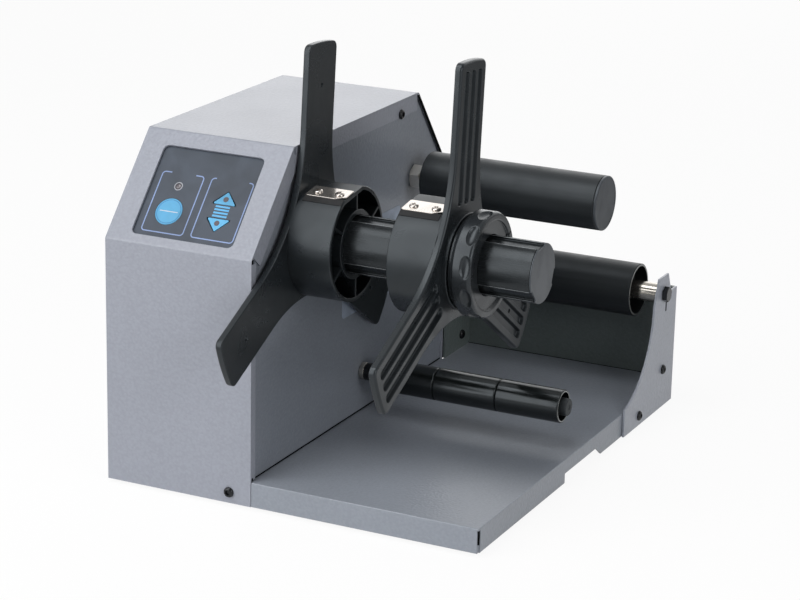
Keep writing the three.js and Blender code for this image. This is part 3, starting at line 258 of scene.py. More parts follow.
def buildMouldGrain():
    # injection moulding: very fine spark grain, soft flow clouds and handling smudges
    s = mouldGrain
    tree, entry, leave, scale = surfaceTree("mould grain", "Grain Size", "Smudge", s["smudge"])
    grain = noise(tree, entry["Vector"], scale, 1.0)
    flow = noise(tree, entry["Vector"], s["flowScale"], 4.0, distortion=s["flowDistortion"])
    smudge = rescale(tree, flow, *s["flowRange"])
    swing = maths(tree, "MULTIPLY", maths(tree, "SUBTRACT", smudge, 0.5), entry["Smudge"])
    tone = tinted(tree, entry["Colour"], s["flowTone"], smudge)
    return endSurface(tree, entry, leave, tone, swing, grain)


rubbing = {"amount": 0.1, "distortion": 1.2, "range": (0.45, 0.7)}


def rubbed(tree, entry, scale):
    # patches rubbed by handling, shared by the two metal surfaces
    rub = noise(tree, entry["Vector"], scale, 4.0, distortion=rubbing["distortion"])
    return rescale(tree, rub, *rubbing["range"])


turnedMarks = {
    "ringRoughness": 0.7, "ringRange": (0.35, 0.65), "ringMost": 0.6, "ringTone": 0.75, "rubScale": 45.0,
}


def buildTurnedMarks():
    # lathe marks round the X axis: rings along the length, and rings by radius on the ends
    s = turnedMarks
    tree, entry, leave, scale = surfaceTree("turned marks", "Pitch", "Scuff", rubbing["amount"])
    split = parted(tree, entry["Vector"])
    across = together(tree, split[0], lengthOf(tree, split[1], split[2]))
    rings = noise(tree, across, scale, 3.0, s["ringRoughness"])
    tone = tinted(tree, entry["Colour"], s["ringTone"], rescale(
        tree, rings, *s["ringRange"], 0.0, s["ringMost"]))
    swing = maths(tree, "MULTIPLY", rubbed(tree, entry, s["rubScale"]), entry["Scuff"])
    return endSurface(tree, entry, leave, tone, swing, rings)


drawnMarks = {
    "stretch": (0.025, 1, 1), "streakRoughness": 0.6, "streakRange": (0.3, 0.7),
    "streakSwing": (-0.4, 0.6), "bandScale": 0.16, "bandRange": (0.35, 0.65), "bandMost": 0.7,
    "bandTone": 0.7, "bandRelief": 1.4, "rubScale": 40.0,
}


def buildDrawnMarks():
    # drawn and anodised tube: fine streaks along X, a few wider bands and rubbed patches
    s = drawnMarks
    tree, entry, leave, scale = surfaceTree("drawn marks", "Streak Size", "Scuff", rubbing["amount"])
    long = vectorMaths(tree, "MULTIPLY", entry["Vector"], s["stretch"])
    streaks = noise(tree, long, scale, 3.0, s["streakRoughness"])
    bands = noise(tree, long, maths(tree, "MULTIPLY", scale, s["bandScale"]), 2.0)
    tone = tinted(tree, entry["Colour"], s["bandTone"], rescale(
        tree, bands, *s["bandRange"], 0.0, s["bandMost"]))
    lines = rescale(tree, streaks, *s["streakRange"], *s["streakSwing"])
    worn = maths(tree, "ADD", rubbed(tree, entry, s["rubScale"]), lines)
    swing = maths(tree, "MULTIPLY", worn, entry["Scuff"])
    relief = maths(tree, "ADD", streaks, maths(tree, "MULTIPLY", bands, s["bandRelief"]))
    return endSurface(tree, entry, leave, tone, swing, relief)


surfaces = {
    "powderCoat": (buildPowderCoat(), "Peel Size"),
    "drawnMarks": (buildDrawnMarks(), "Streak Size"),
    "mouldGrain": (buildMouldGrain(), "Grain Size"),
    "turnedMarks": (buildTurnedMarks(), "Pitch"),
}


def linearColour(*levels):
    # screen levels of 0 to 255 as linear light
    shares = [level / 255 for level in levels]
    return (*(s / 12.92 if s <= 0.04045 else ((s + 0.055) / 1.055) ** 2.4 for s in shares), 1)


def makeFinish(name, look, centre=None):
    # one material from a shared surface; centre puts turned marks on the piece's own axis
    material = bpy.data.materials.new(name)
    material.use_nodes = True
    tree = material.node_tree
    tree.nodes.clear()
    out = tree.nodes.new("ShaderNodeOutputMaterial")
    place = addNode(tree, "ShaderNodeTexCoord").outputs["Object"]
    if centre is not None:
        shift = addNode(tree, "ShaderNodeMapping", {"Vector": place, "Location": -Vector(centre)})
        place = shift.outputs[0]
    surface, sizeLabel = surfaces[look["surface"]]
    effect = addNode(tree, "ShaderNodeGroup", {
        "Vector": place, "Colour": linearColour(*look["colour"]), sizeLabel: look["size"] * mm,
        "Roughness": look["roughness"]}, node_tree=surface)
    if "amount" in look:
        effect.inputs[4].default_value = look["amount"]
    bump = addNode(tree, "ShaderNodeBump", {
        "Height": effect.outputs["Height"], "Strength": look["bump"], "Distance": look["depth"] * mm})
    shader = addNode(tree, "ShaderNodeBsdfPrincipled", {
        "Base Color": effect.outputs["Colour"], "Roughness": effect.outputs["Roughness"],
        "Normal": bump.outputs[0], "Metallic": look.get("metallic", 0.0),
        "Specular IOR Level": look.get("specular", 0.5), "Specular Tint": look.get("tint", (1, 1, 1, 1)),
        "Coat Weight": look.get("coat", 0.0), "Coat Roughness": 0.1})
    tree.links.new(shader.outputs[0], out.inputs[0])
    return material


# finishes: colours as they look on screen, sizes and depths in millimetres
# cool specular tint: paints the cool cast of the studio light into the reflections of the dark parts
coldTint = (0.86, 0.94, 1, 1)
paintLook = {"surface": "powderCoat", "size": 1.8, "roughness": 0.29, "bump": 0.7, "depth": 0.27}
plasticLook = {"surface": "mouldGrain", "size": 0.35, "roughness": 0.42, "bump": 0.25, "depth": 0.05}
turnedLook = {"surface": "turnedMarks", "size": 0.25, "roughness": 0.28, "bump": 0.15, "depth": 0.03}
drawnLook = {
    "surface": "drawnMarks", "size": 0.3, "roughness": 0.25, "bump": 0.12, "depth": 0.04,
    "tint": coldTint}
inkLook = {**plasticLook, "size": 0.5, "roughness": 0.5}
looks = {
    # the housing's sheets share one powder coat: the side plate and tray are painted darker and the
    # bracket lighter than the cover, as shaded and lit copies of it; the rear wall is darker still
    "cover_paint": {**paintLook, "colour": (158, 162, 173)},
    "side_paint": {**paintLook, "colour": (140, 146, 156)},
    "tray_paint": {**paintLook, "colour": (150, 156, 166)},
    "wall_paint": {**paintLook, "colour": (106, 115, 114), "specular": 0.3},
    "bracket_paint": {**paintLook, "colour": (168, 173, 184)},
    "foot_rubber": {**plasticLook, "colour": (30, 31, 33), "roughness": 0.75},
    "panel_film": {**inkLook, "colour": (64, 73, 86), "amount": 0.04},
    "key_film": {**inkLook, "colour": (96, 178, 224), "amount": 0.05},
    "led_lens": {**plasticLook, "colour": (104, 98, 104), "roughness": 0.2, "coat": 0.6},
    "board": {**plasticLook, "colour": (38, 96, 60), "size": 0.8},
    "nylon": {**plasticLook, "colour": (214, 208, 190), "roughness": 0.5},
    "flange_plastic": {**plasticLook, "colour": (33, 37, 40), "roughness": 0.32, "tint": coldTint},
    "nut_plastic": {**plasticLook, "colour": (40, 43, 46), "roughness": 0.28, "tint": coldTint},
    "grip_steel": {**turnedLook, "colour": (214, 208, 202), "metallic": 0.95, "roughness": 0.15},
    "spindle_black": {**drawnLook, "colour": (34, 37, 39), "roughness": 0.21, "metallic": 0.2},
    "cap_plastic": {**plasticLook, "colour": (70, 74, 79), "roughness": 0.4, "tint": coldTint},
    "roller_black": {**drawnLook, "colour": (30, 33, 35), "roughness": 0.42},
    "bright_steel": {**turnedLook, "colour": (200, 196, 188), "metallic": 0.95, "roughness": 0.18},
    "black_screw": {**plasticLook, "colour": (44, 46, 48), "roughness": 0.2, "metallic": 0.5},
    "cap_rubber": {**plasticLook, "colour": (44, 47, 49), "roughness": 0.6, "tint": coldTint},
    "drive_metal": {**turnedLook, "colour": (186, 188, 190), "metallic": 0.9, "roughness": 0.35},
    "plain_steel": {**paintLook, "colour": (168, 170, 170), "metallic": 0.8, "size": 2.5, "bump": 0.1},
    "belt_rubber": {**plasticLook, "colour": (28, 28, 29), "roughness": 0.8},
    "core_steel": {**paintLook, "colour": (96, 74, 62), "size": 0.6},
    "black_plastic": {**plasticLook, "colour": (30, 31, 33), "roughness": 0.45},
    "rocker_plastic": {**plasticLook, "colour": (24, 25, 27), "roughness": 0.2, "coat": 0.3},
}
finishes = {slot: makeFinish(slot, look) for slot, look in looks.items()}
print("finishes made:", len(finishes))

for node, slotName in slotOf.items():
    data = nodes[node].data
    data.materials.clear()
    data.materials.append(finishes[slotName])


def centredFinish(name, look, node):
    # a finish with its marks centred on the node's own axis
    low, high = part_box(node)
    middle = (low + high) / 2
    return makeFinish(f"{name}.{node}", look, (0, middle.y, middle.z))


# outlines, in millimetres, as lists of points (u, v)

def arcPoints(centre, start, end, steps):
    first = math.atan2(start.y, start.x)
    sweep = math.atan2(end.y, end.x) - first
    sweep -= 2 * math.pi * round(sweep / (2 * math.pi))
    radius = start.length
    angles = [first + sweep * k / steps for k in range(steps + 1)]
    return [centre + Vector((math.cos(a), math.sin(a))) * radius for a in angles]


def rounded(corners, steps):
    # corners are (u, v) or (u, v, radius)
    points = []
    for i, corner in enumerate(corners):
        here = Vector(corner[:2])
        radius = corner[2] if len(corner) > 2 else 0
        if not radius:
            points.append(here)
            continue
        back = (Vector(corners[i - 1][:2]) - here).normalized()
        ahead = (Vector(corners[(i + 1) % len(corners)][:2]) - here).normalized()
        half = math.acos(max(-1, min(1, back.dot(ahead)))) / 2
        centre = here + (back + ahead).normalized() * radius / math.sin(half)
        start = here + back * radius / math.tan(half) - centre
        end = here + ahead * radius / math.tan(half) - centre
        points += arcPoints(centre, start, end, steps)
    return points


def rectangle(u0, u1, v0, v1, radius=0, steps=5):
    return rounded([(u0, v0, radius), (u1, v0, radius), (u1, v1, radius), (u0, v1, radius)], steps)


def circle(u, v, radius, sides):
    angles = [2 * math.pi * k / sides for k in range(sides)]
    return [Vector((u + radius * math.cos(a), v + radius * math.sin(a))) for a in angles]


leastLean = 0.4  # keeps the mitre of a sharp corner short


def grown(outline, distance):
    # a counterclockwise outline moved outwards along its mitred normals
    result = []
    for i, here in enumerate(outline):
        into = (here - outline[i - 1]).normalized()
        outOf = (outline[(i + 1) % len(outline)] - here).normalized()
        normal = Vector((into.y + outOf.y, -into.x - outOf.x)).normalized()
        lean = max(leastLean, normal.dot(Vector((into.y, -into.x))))
        result.append(here + normal * distance / lean)
    return result


def turnedOutline(outline, angle):
    spin = Matrix.Rotation(angle, 2)
    return [spin @ point for point in outline]


# solids as bmesh, in housing millimetres

alongX = Matrix(((0, 0, 1, 0), (1, 0, 0, 0), (0, 1, 0, 0), (0, 0, 0, 1)))  # (u, v, w) is (Y, Z, X)
alongY = Matrix(((1, 0, 0, 0), (0, 0, 1, 0), (0, 1, 0, 0), (0, 0, 0, 1)))  # (u, v, w) is (X, Z, Y)
alongZ = Matrix.Identity(4)
weld = {"solid": 2e-5, "node": 2e-6}  # points this close are one: millimetres, then metres


def onAxis(axis):
    return Matrix.Translation((0, *axis)) @ alongX


def bridge(bm, lower, upper):
    # faces between two rings of points, either of which may be a single point
    count = max(len(lower), len(upper))
    for i in range(count):
        j = (i + 1) % count
        if len(lower) > 1 and len(upper) > 1:
            bm.faces.new((lower[i], lower[j], upper[j], upper[i]))
        elif len(upper) > 1:
            bm.faces.new((lower[0], upper[j], upper[i]))
        elif len(lower) > 1:
            bm.faces.new((lower[i], lower[j], upper[0]))


def bridgeRound(bm, rings):
    # a closed solid of rings that follow each other back to the first
    for ring, after in zip(rings, rings[1:] + rings[:1]):
        bridge(bm, ring, after)
    bmesh.ops.recalc_face_normals(bm, faces=bm.faces)
    return bm


def raisedRings(bm, levels, place):
    # levels are (w, outline) with equal point counts
    return [[bm.verts.new(place @ Vector((p.x, p.y, w))) for p in outline] for w, outline in levels]


def stack(levels, place):
    # rings one over another with closed ends
    bm = bmesh.new()
    rings = raisedRings(bm, levels, place)
    for lower, upper in zip(rings, rings[1:]):
        bridge(bm, lower, upper)
    bm.faces.new(list(reversed(rings[0])))
    bm.faces.new(rings[-1])
    bmesh.ops.recalc_face_normals(bm, faces=bm.faces)
    return bm


def softSlab(outline, w0, w1, edge, place=alongX, steps=3, farEdge=None):
    # a slab whose two outer edges are rounded over
    def roll(w, radius, way):
        angles = [math.pi / 2 * k / steps for k in range(steps + 1)]
        return [(w + way * radius * (1 - math.sin(a)), grown(outline, -radius * (1 - math.cos(a))))
                for a in angles]

    far = edge if farEdge is None else farEdge
    return stack(roll(w0, edge, 1)[::-1] + roll(w1, far, -1), place)


def turned(profile, axis, sides, phase=0.0):
    # closed profile of (x, radius) turned round an axis along X
    bm = bmesh.new()
    y, z = axis
    angles = [phase + 2 * math.pi * k / sides for k in range(sides)]
    rings = []
    for x, radius in profile:
        spots = [axis]
        if radius:
            spots = [(y - radius * math.sin(a), z + radius * math.cos(a)) for a in angles]
        rings.append([bm.verts.new((x, *spot)) for spot in spots])
    return bridgeRound(bm, rings)


def softTurned(corners, axis, sides):
    # corners are (x, radius, rounding)
    return turned([tuple(p) for p in rounded(corners, 4)], axis, sides)


def tubeProfile(x0, x1, inner, outer, edge, innerEdge=0.2):
    return [(x0, inner, innerEdge), (x0, outer, edge), (x1, outer, edge), (x1, inner, innerEdge)]


def rodProfile(x0, x1, radius, edge):
    return [(x0, 0), (x0, radius, edge), (x1, radius, edge), (x1, 0)]


def toMesh(name, bm):
    mesh = bpy.data.meshes.new(name)
    bm.to_mesh(mesh)
    bm.free()
    return mesh


def fromMesh(mesh):
    bm = bmesh.new()
    bm.from_mesh(mesh)
    return bm


def plainMesh(obj):
    graph = bpy.context.evaluated_depsgraph_get()
    graph.update()
    return bpy.data.meshes.new_from_object(obj.evaluated_get(graph), depsgraph=graph)


def joined(*parts):
    whole = bmesh.new()
    for part in parts:
        mesh = toMesh("scratch", part)
        whole.from_mesh(mesh)
        bpy.data.meshes.remove(mesh)
    return whole


def combine(base, tool, operation):
    # boolean of two bmesh solids
    meshes = [toMesh("scratch", part) for part in (base, tool)]
    made = [newObject("scratch", mesh) for mesh in meshes]
    modifier = made[0].modifiers.new("combine", "BOOLEAN")
    modifier.operation = operation
    modifier.solver = "MANIFOLD"
    modifier.object = made[1]
    meshes.append(plainMesh(made[0]))
    bm = fromMesh(meshes[-1])
    for mesh in meshes:
        bpy.data.meshes.remove(mesh)
    bmesh.ops.remove_doubles(bm, verts=bm.verts, dist=weld["solid"])
    return bm


# finished pieces

normalWeight = 60  # how far large faces lead in the shading of a rounded edge


def addMesh(name, mesh, body, slotName, replaced=(), material=None, sharpAngle=38):
    mesh.shade_smooth()
    mesh.set_sharp_from_angle(angle=math.radians(sharpAngle))
    obj = newObject(name, mesh)
    weighted = obj.modifiers.new("weighted normals", "WEIGHTED_NORMAL")
    weighted.keep_sharp = True
    weighted.weight = normalWeight
    final = plainMesh(obj)
    final.name = name
    obj.modifiers.clear()
    obj.data = final
    bpy.data.meshes.remove(mesh)
    final.materials.clear()
    final.materials.append(material or finishes[slotName])
    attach(obj, body)
    if replaced:
        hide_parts(*replaced)


def addPiece(name, bm, body, slotName, replaced=(), material=None, sharpAngle=38):
    # turns a bmesh in millimetres into a finished piece
    bm.transform(toRow)
    bmesh.ops.recalc_face_normals(bm, faces=bm.faces)
    addMesh(name, toMesh(name, bm), body, slotName, replaced, material, sharpAngle)


def bodyOf(node):
    return nodes[node]["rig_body"]


def replaceNode(node, bm, material=None, sharpAngle=38):
    slotName = slotOf[node]
    if material is None and looks[slotName]["surface"] == "turnedMarks":
        material = centredFinish(slotName, looks[slotName], node)
    addPiece(f"{node}_skin", bm, bodyOf(node), slotName, (node,), material, sharpAngle)


def spanOf(node):
    low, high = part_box(node)
    return (low - home) / mm, (high - home) / mm


def axisOf(node):
    # a round node's first and last X, its outer radius and the (Y, Z) of its axis
    low, high = spanOf(node)
    middle = (low + high) / 2
    return low.x, high.x, (high.z - low.z) / 2, (middle.y, middle.z)


# sheet metal and rear fittings keep their own shape with folded-over edges: a fold's width, the area
# in square millimetres from which a face counts as a sheet, and the angle of an edge in degrees
folds = {"width": 1.1, "area": 900, "angle": 32, "segments": 3, "flatAngle": 0.5}
dressed = {
    "cover": 0.45, "side_plate": 0.3, "base_tray": 0.45, "rear_wall": 0.35, "side_bracket": 0.4,
    "power_inlet": 0.3, "switch_body": 0.25, "switch_rocker": 0.3,
}


def markFolds(bm, edge):
    # how much of a fold's width each edge takes: all of it between two sheets, else its own width
    weight = bm.edges.layers.float.new("bevel_weight_edge")
    bm.normal_update()
    for line in bm.edges:
        if len(line.link_faces) != 2 or line.calc_face_angle(0) < math.radians(folds["angle"]):
            continue
        least = min(face.calc_area() for face in line.link_faces)
        folded = line.is_convex and least > folds["area"] * mm * mm
        line[weight] = 1 if folded else edge / folds["width"]


def dressNode(node, edge, name):
    # a merged copy of the node's own solid with its edges rounded over and its folds rounder still
    source = nodes[node].data
    mesh = bpy.data.meshes.new(node)
    mesh.from_pydata([v.co for v in source.vertices], [], [tuple(p.vertices) for p in source.polygons])
    bm = fromMesh(mesh)
    bmesh.ops.remove_doubles(bm, verts=bm.verts, dist=weld["node"])
    flat = math.radians(folds["flatAngle"])
    bmesh.ops.dissolve_limit(bm, angle_limit=flat, verts=bm.verts, edges=bm.edges)
    markFolds(bm, edge)
    bm.to_mesh(mesh)
    bm.free()
    obj = newObject(node, mesh)
    bevel = obj.modifiers.new("rounded edges", "BEVEL")
    bevel.width = folds["width"] * mm
    bevel.segments = folds["segments"]
    bevel.limit_method = "WEIGHT"
    bevel.use_clamp_overlap = True
    final = plainMesh(obj)
    bpy.data.objects.remove(obj)
    addMesh(name, final, bodyOf(node), slotOf[node], (node,))


for node, edge in dressed.items():
    dressNode(node, edge, f"{node}_skin")
print("sheet metal dressed")


# control panel: places in it are (u, v) from the lower left corner of the slope's window

house = {"width": 108, "height": 228, "frontHeight": 166, "slopeRun": 55.5, "slopeFold": 4}
slopeAngle = math.atan2(house["height"] - house["frontHeight"], house["slopeRun"])
slopeFoot = Matrix.Translation((-house["width"], 0, house["frontHeight"]))
onSlope = slopeFoot @ Matrix.Rotation(slopeAngle, 4, "X")


def slopeSpan(node):
    back = onSlope.inverted() @ toRow.inverted()
    points = [back @ v.co for v in nodes[node].data.vertices]
    return Vector(map(min, zip(*points))), Vector(map(max, zip(*points)))


filmLow, filmHigh = slopeSpan("panel_overlay")
filmTop = filmHigh.z


def inWindow(u, v):
    return Vector((filmLow.x + house["slopeFold"] + u, filmLow.y + house["slopeFold"] + v))


def buildStripTree():
    # flat printed lines along a path: rounded corners, a width and a thickness
    tree, entry, leave = geometryTree("printed line", [
        ("Width", number, 0.8), ("Thickness", number, 0.12), ("Corner Radius", number, 0.0),
        ("Corner Points", wholeNumber, 6)])
    path = addNode(tree, "GeometryNodeMeshToCurve", {"Mesh": entry["Geometry"]})
    bend = addNode(tree, "GeometryNodeFilletCurve", {
        "Curve": path.outputs[0], "Radius": entry["Corner Radius"], "Count": entry["Corner Points"],
        "Limit Radius": True}, mode="POLY")
    section = addNode(tree, "GeometryNodeCurvePrimitiveQuadrilateral", {
        "Width": entry["Width"], "Height": entry["Thickness"]})
    swept = addNode(tree, "GeometryNodeCurveToMesh", {
        "Curve": bend.outputs[0], "Profile Curve": section.outputs[0], "Fill Caps": True})
    return endGeometry(tree, entry, leave, swept.outputs[0])


def grownByNodes(name, mesh, tree, values):
    # runs a geometry node tree on a mesh and gives the plain result
    obj = newObject(name, mesh)
    modifier = obj.modifiers.new(tree.name, "NODES")
    modifier.node_group = tree
    for item in tree.interface.items_tree:
        if item.in_out == "INPUT" and item.name in values:
            modifier[item.identifier] = values[item.name]
    result = plainMesh(obj)
    bpy.data.objects.remove(obj)
    return result


stripTree = buildStripTree()


def pathMesh(paths):
    # paths are lists of points, closed where the flag says so
    points = []
    edges = []
    for path, closed in paths:
        first = len(points)
        points += [(p.x, p.y, 0) for p in path]
        edges += [(first + i, first + i + 1) for i in range(len(path) - 1)]
        if closed:
            edges.append((first + len(path) - 1, first))
    mesh = bpy.data.meshes.new("path")
    mesh.from_pydata(points, edges, [])
    return mesh


inkColours = {
    "frame": (146, 168, 214), "stripe": (94, 176, 226), "ring": (66, 140, 196),
    "white": (214, 222, 232), "grey": (176, 178, 186),
}
inks = {name: makeFinish(f"{name}_ink", {**inkLook, "colour": tone}) for name, tone in inkColours.items()}
windowTint = makeFinish("window_tint", {**inkLook, "colour": (92, 84, 92), "roughness": 0.3})

# frames are (left, right, low, high), each with the two ends of the gap in its top
panel = {
    "leftFrame": ((5.4, 36.1, 4.2, 47.6), (11.8, 29.9)),
    "rightFrame": ((42.0, 72.6, 4.4, 47.8), (45.0, 69.1)),
    "filmEdge": 0.15, "inkHeight": 0.14, "lineWidth": 0.75, "frameCorner": 2.2,
    "stripes": (28.5, 26.3, 24.0, 21.7), "stripeSpan": (51.6, 62.1), "stripeWidth": 1.3,
    "ledPlace": (20.2, 38.3), "ledRing": 2.7, "ledRingWidth": 0.7,
    "startPlace": (20.2, 19.7), "startRadius": 9.5, "startRing": 8.45, "startRingWidth": 0.5,
    "barHalf": 6.6, "barWidth": 0.6, "barRise": 0.02, "keyEdge": 0.12, "arrowCorner": 0.6,
    "windows": {"up_key": (57.1, 34.0), "down_key": (56.9, 16.7)},
    "windowRadius": 1.9, "windowDepth": 0.4, "windowRise": 0.1,
}


def printLines(name, paths, width, body, slotName, ink, corner=0.0, rise=0.0):
    mesh = grownByNodes(name, pathMesh(paths), stripTree, {
        "Width": width, "Thickness": panel["inkHeight"], "Corner Radius": corner, "Finish": inks[ink]})
    mesh.transform(toRow @ onSlope @ Matrix.Translation((0, 0, filmTop + rise)))
    addMesh(name, mesh, body, slotName, (), inks[ink], 30)


def brokenFrame(span, gap):
    # one open line round a frame, from one side of the gap in its top to the other
    left, right, low, high = span
    corners = [(gap[0], high), (left, high), (left, low), (right, low), (right, high), (gap[1], high)]
    return [inWindow(u, v) for u, v in corners], False


def buildPanel():
    p = panel
    dressNode("panel_overlay", p["filmEdge"], "panel_film")
    frames = [brokenFrame(*p["leftFrame"]), brokenFrame(*p["rightFrame"])]
    stripes = [([inWindow(u, v) for u in p["stripeSpan"]], False) for v in p["stripes"]]
    ledRing = circle(*inWindow(*p["ledPlace"]), p["ledRing"], 40)
    start = inWindow(*p["startPlace"])
    startRing = circle(*start, p["startRing"], 64)
    bar = [start + Vector((u, 0)) for u in (-p["barHalf"], p["barHalf"])]
    printLines("panel_frames", frames, p["lineWidth"], "frame", "key_film", "frame", p["frameCorner"])
    printLines("direction_stripes", stripes, p["stripeWidth"], "frame", "key_film", "stripe")
    printLines("status_ring", [(ledRing, True)], p["ledRingWidth"], "frame", "panel_film", "grey")
    printLines("start_ring", [(startRing, True)], p["startRingWidth"], "start", "key_film", "ring")
    printLines("start_bar", [(bar, False)], p["barWidth"], "start", "key_film", "white",
               rise=p["barRise"])


def buildKeys():
    p = panel
    disc = circle(*inWindow(*p["startPlace"]), p["startRadius"], 96)
    low, high = slopeSpan("start_key")
    replaceNode("start_key", softSlab(disc, low.z, filmTop, p["keyEdge"], onSlope))
    for node, window in p["windows"].items():
        low, high = slopeSpan(node)
        left, right, foot, tip = low.x, high.x, low.y, high.y
        if node == "down_key":
            left, right, foot, tip = right, left, tip, foot
        corners = [(left, foot), (right, foot), ((left + right) / 2, tip)]
        outline = rounded([(*corner, p["arrowCorner"]) for corner in corners], 4)
        replaceNode(node, softSlab(outline, low.z, filmTop, p["keyEdge"], onSlope))
        lens = softSlab(circle(*inWindow(*window), p["windowRadius"], 40), filmTop - p["windowDepth"],
                        filmTop + p["windowRise"], p["windowRise"], onSlope)
        addPiece(f"{node}_light", lens, bodyOf(node), "led_lens", (), windowTint)
    low, high = slopeSpan("status_led")
    led = inWindow(*p["ledPlace"])
    radius = (high.x - low.x) / 2
    levels = [(low.z, circle(*led, radius, 32))]
    for k in range(6):
        a = math.pi / 2 * k / 6
        height = filmTop + (high.z - filmTop) * math.sin(a)
        levels.append((height, circle(*led, radius * math.cos(a), 32)))
    replaceNode("status_led", stack(levels, onSlope))


buildPanel()
buildKeys()
print("panel and keys made")


# core flanges

# points of a groove's lip are (depth below the face, growth of its outline), those of its floor are
# (height over the floor, growth)
flange = {
    "arms": 3, "length": 128.6, "width": 37.3, "lean": -4.3, "corner": 5, "thickness": 4.9,
    "fillet": 103, "filletSteps": 40, "faceEdge": 1.7, "backEdge": 0.6, "ribEdge": 0.3, "footEdge": 0.05,
    "grooves": 3, "pitch": 9.5, "grooveWidth": 6.4, "grooveSpan": (37, 122), "grooveCorner": 2.6,
    "grooveDepth": 2.6, "grooveLip": ((-1.5, 0.35), (0.02, 0.35), (0.3, 0.0)),
    "grooveFloor": ((0.5, -0.55), (0.12, -0.85), (0, -1.2)),
    "pinReach": 100, "pinRadius": 1.5, "pinChamfer": 0.3,
    "coreRadius": 38, "hubLength": 30.9, "hubWall": 2.6, "hubRoot": 0.6, "hubEdge": 0.7,
    "hubInnerEdge": 0.4, "bore": 19.7, "boreWall": 3.3, "boreSpare": 0.5, "sleeveEdge": 0.5,
    "spokes": 6, "spokeWidth": 1.8, "spokeShort": 0.25,
    "padReach": 35.6, "padWall": 2.8, "padLean": 9.3, "padShort": 0.15, "padSpare": 0.3,
    "bossRadius": 31.5, "bossHeight": 3, "bossEdge": 0.8, "sides": 120,
}


def heading(angle):
    # the ways out along an arm that leans by this angle, and across it
    return Vector((-math.sin(angle), math.cos(angle))), Vector((-math.cos(angle), -math.sin(angle)))


def flangeOutline():
    f = flange
    armTurn = 2 * math.pi / f["arms"]
    half = f["width"] / 2
    reach = (f["fillet"] + half) / math.sin(armTurn / 2)
    foot = reach * math.cos(armTurn / 2)
    cornerAcross = half - f["corner"]
    cornerAlong = math.sqrt((f["length"] - f["corner"]) ** 2 - cornerAcross ** 2)
    spread = math.atan2(cornerAcross, cornerAlong)
    points = []
    for k in range(f["arms"]):
        angle = math.radians(f["lean"]) + armTurn * k
        along, across = heading(angle)
        tipRight = along * math.cos(spread) - across * math.sin(spread)
        tipLeft = along * math.cos(spread) + across * math.sin(spread)
        right = along * cornerAlong - across * cornerAcross
        left = along * cornerAlong + across * cornerAcross
        points += arcPoints(right, -across * f["corner"], tipRight * f["corner"], 8)
        points += arcPoints(Vector((0, 0)), tipRight * f["length"], tipLeft * f["length"], 10)[1:-1]
        points += arcPoints(left, tipLeft * f["corner"], across * f["corner"], 8)
        centre = heading(angle + armTurn / 2)[0] * reach
        nextAlong, nextAcross = heading(angle + armTurn)
        start = along * foot + across * half - centre
        end = nextAlong * foot - nextAcross * half - centre
        points += arcPoints(centre, start, end, f["filletSteps"])
    return points


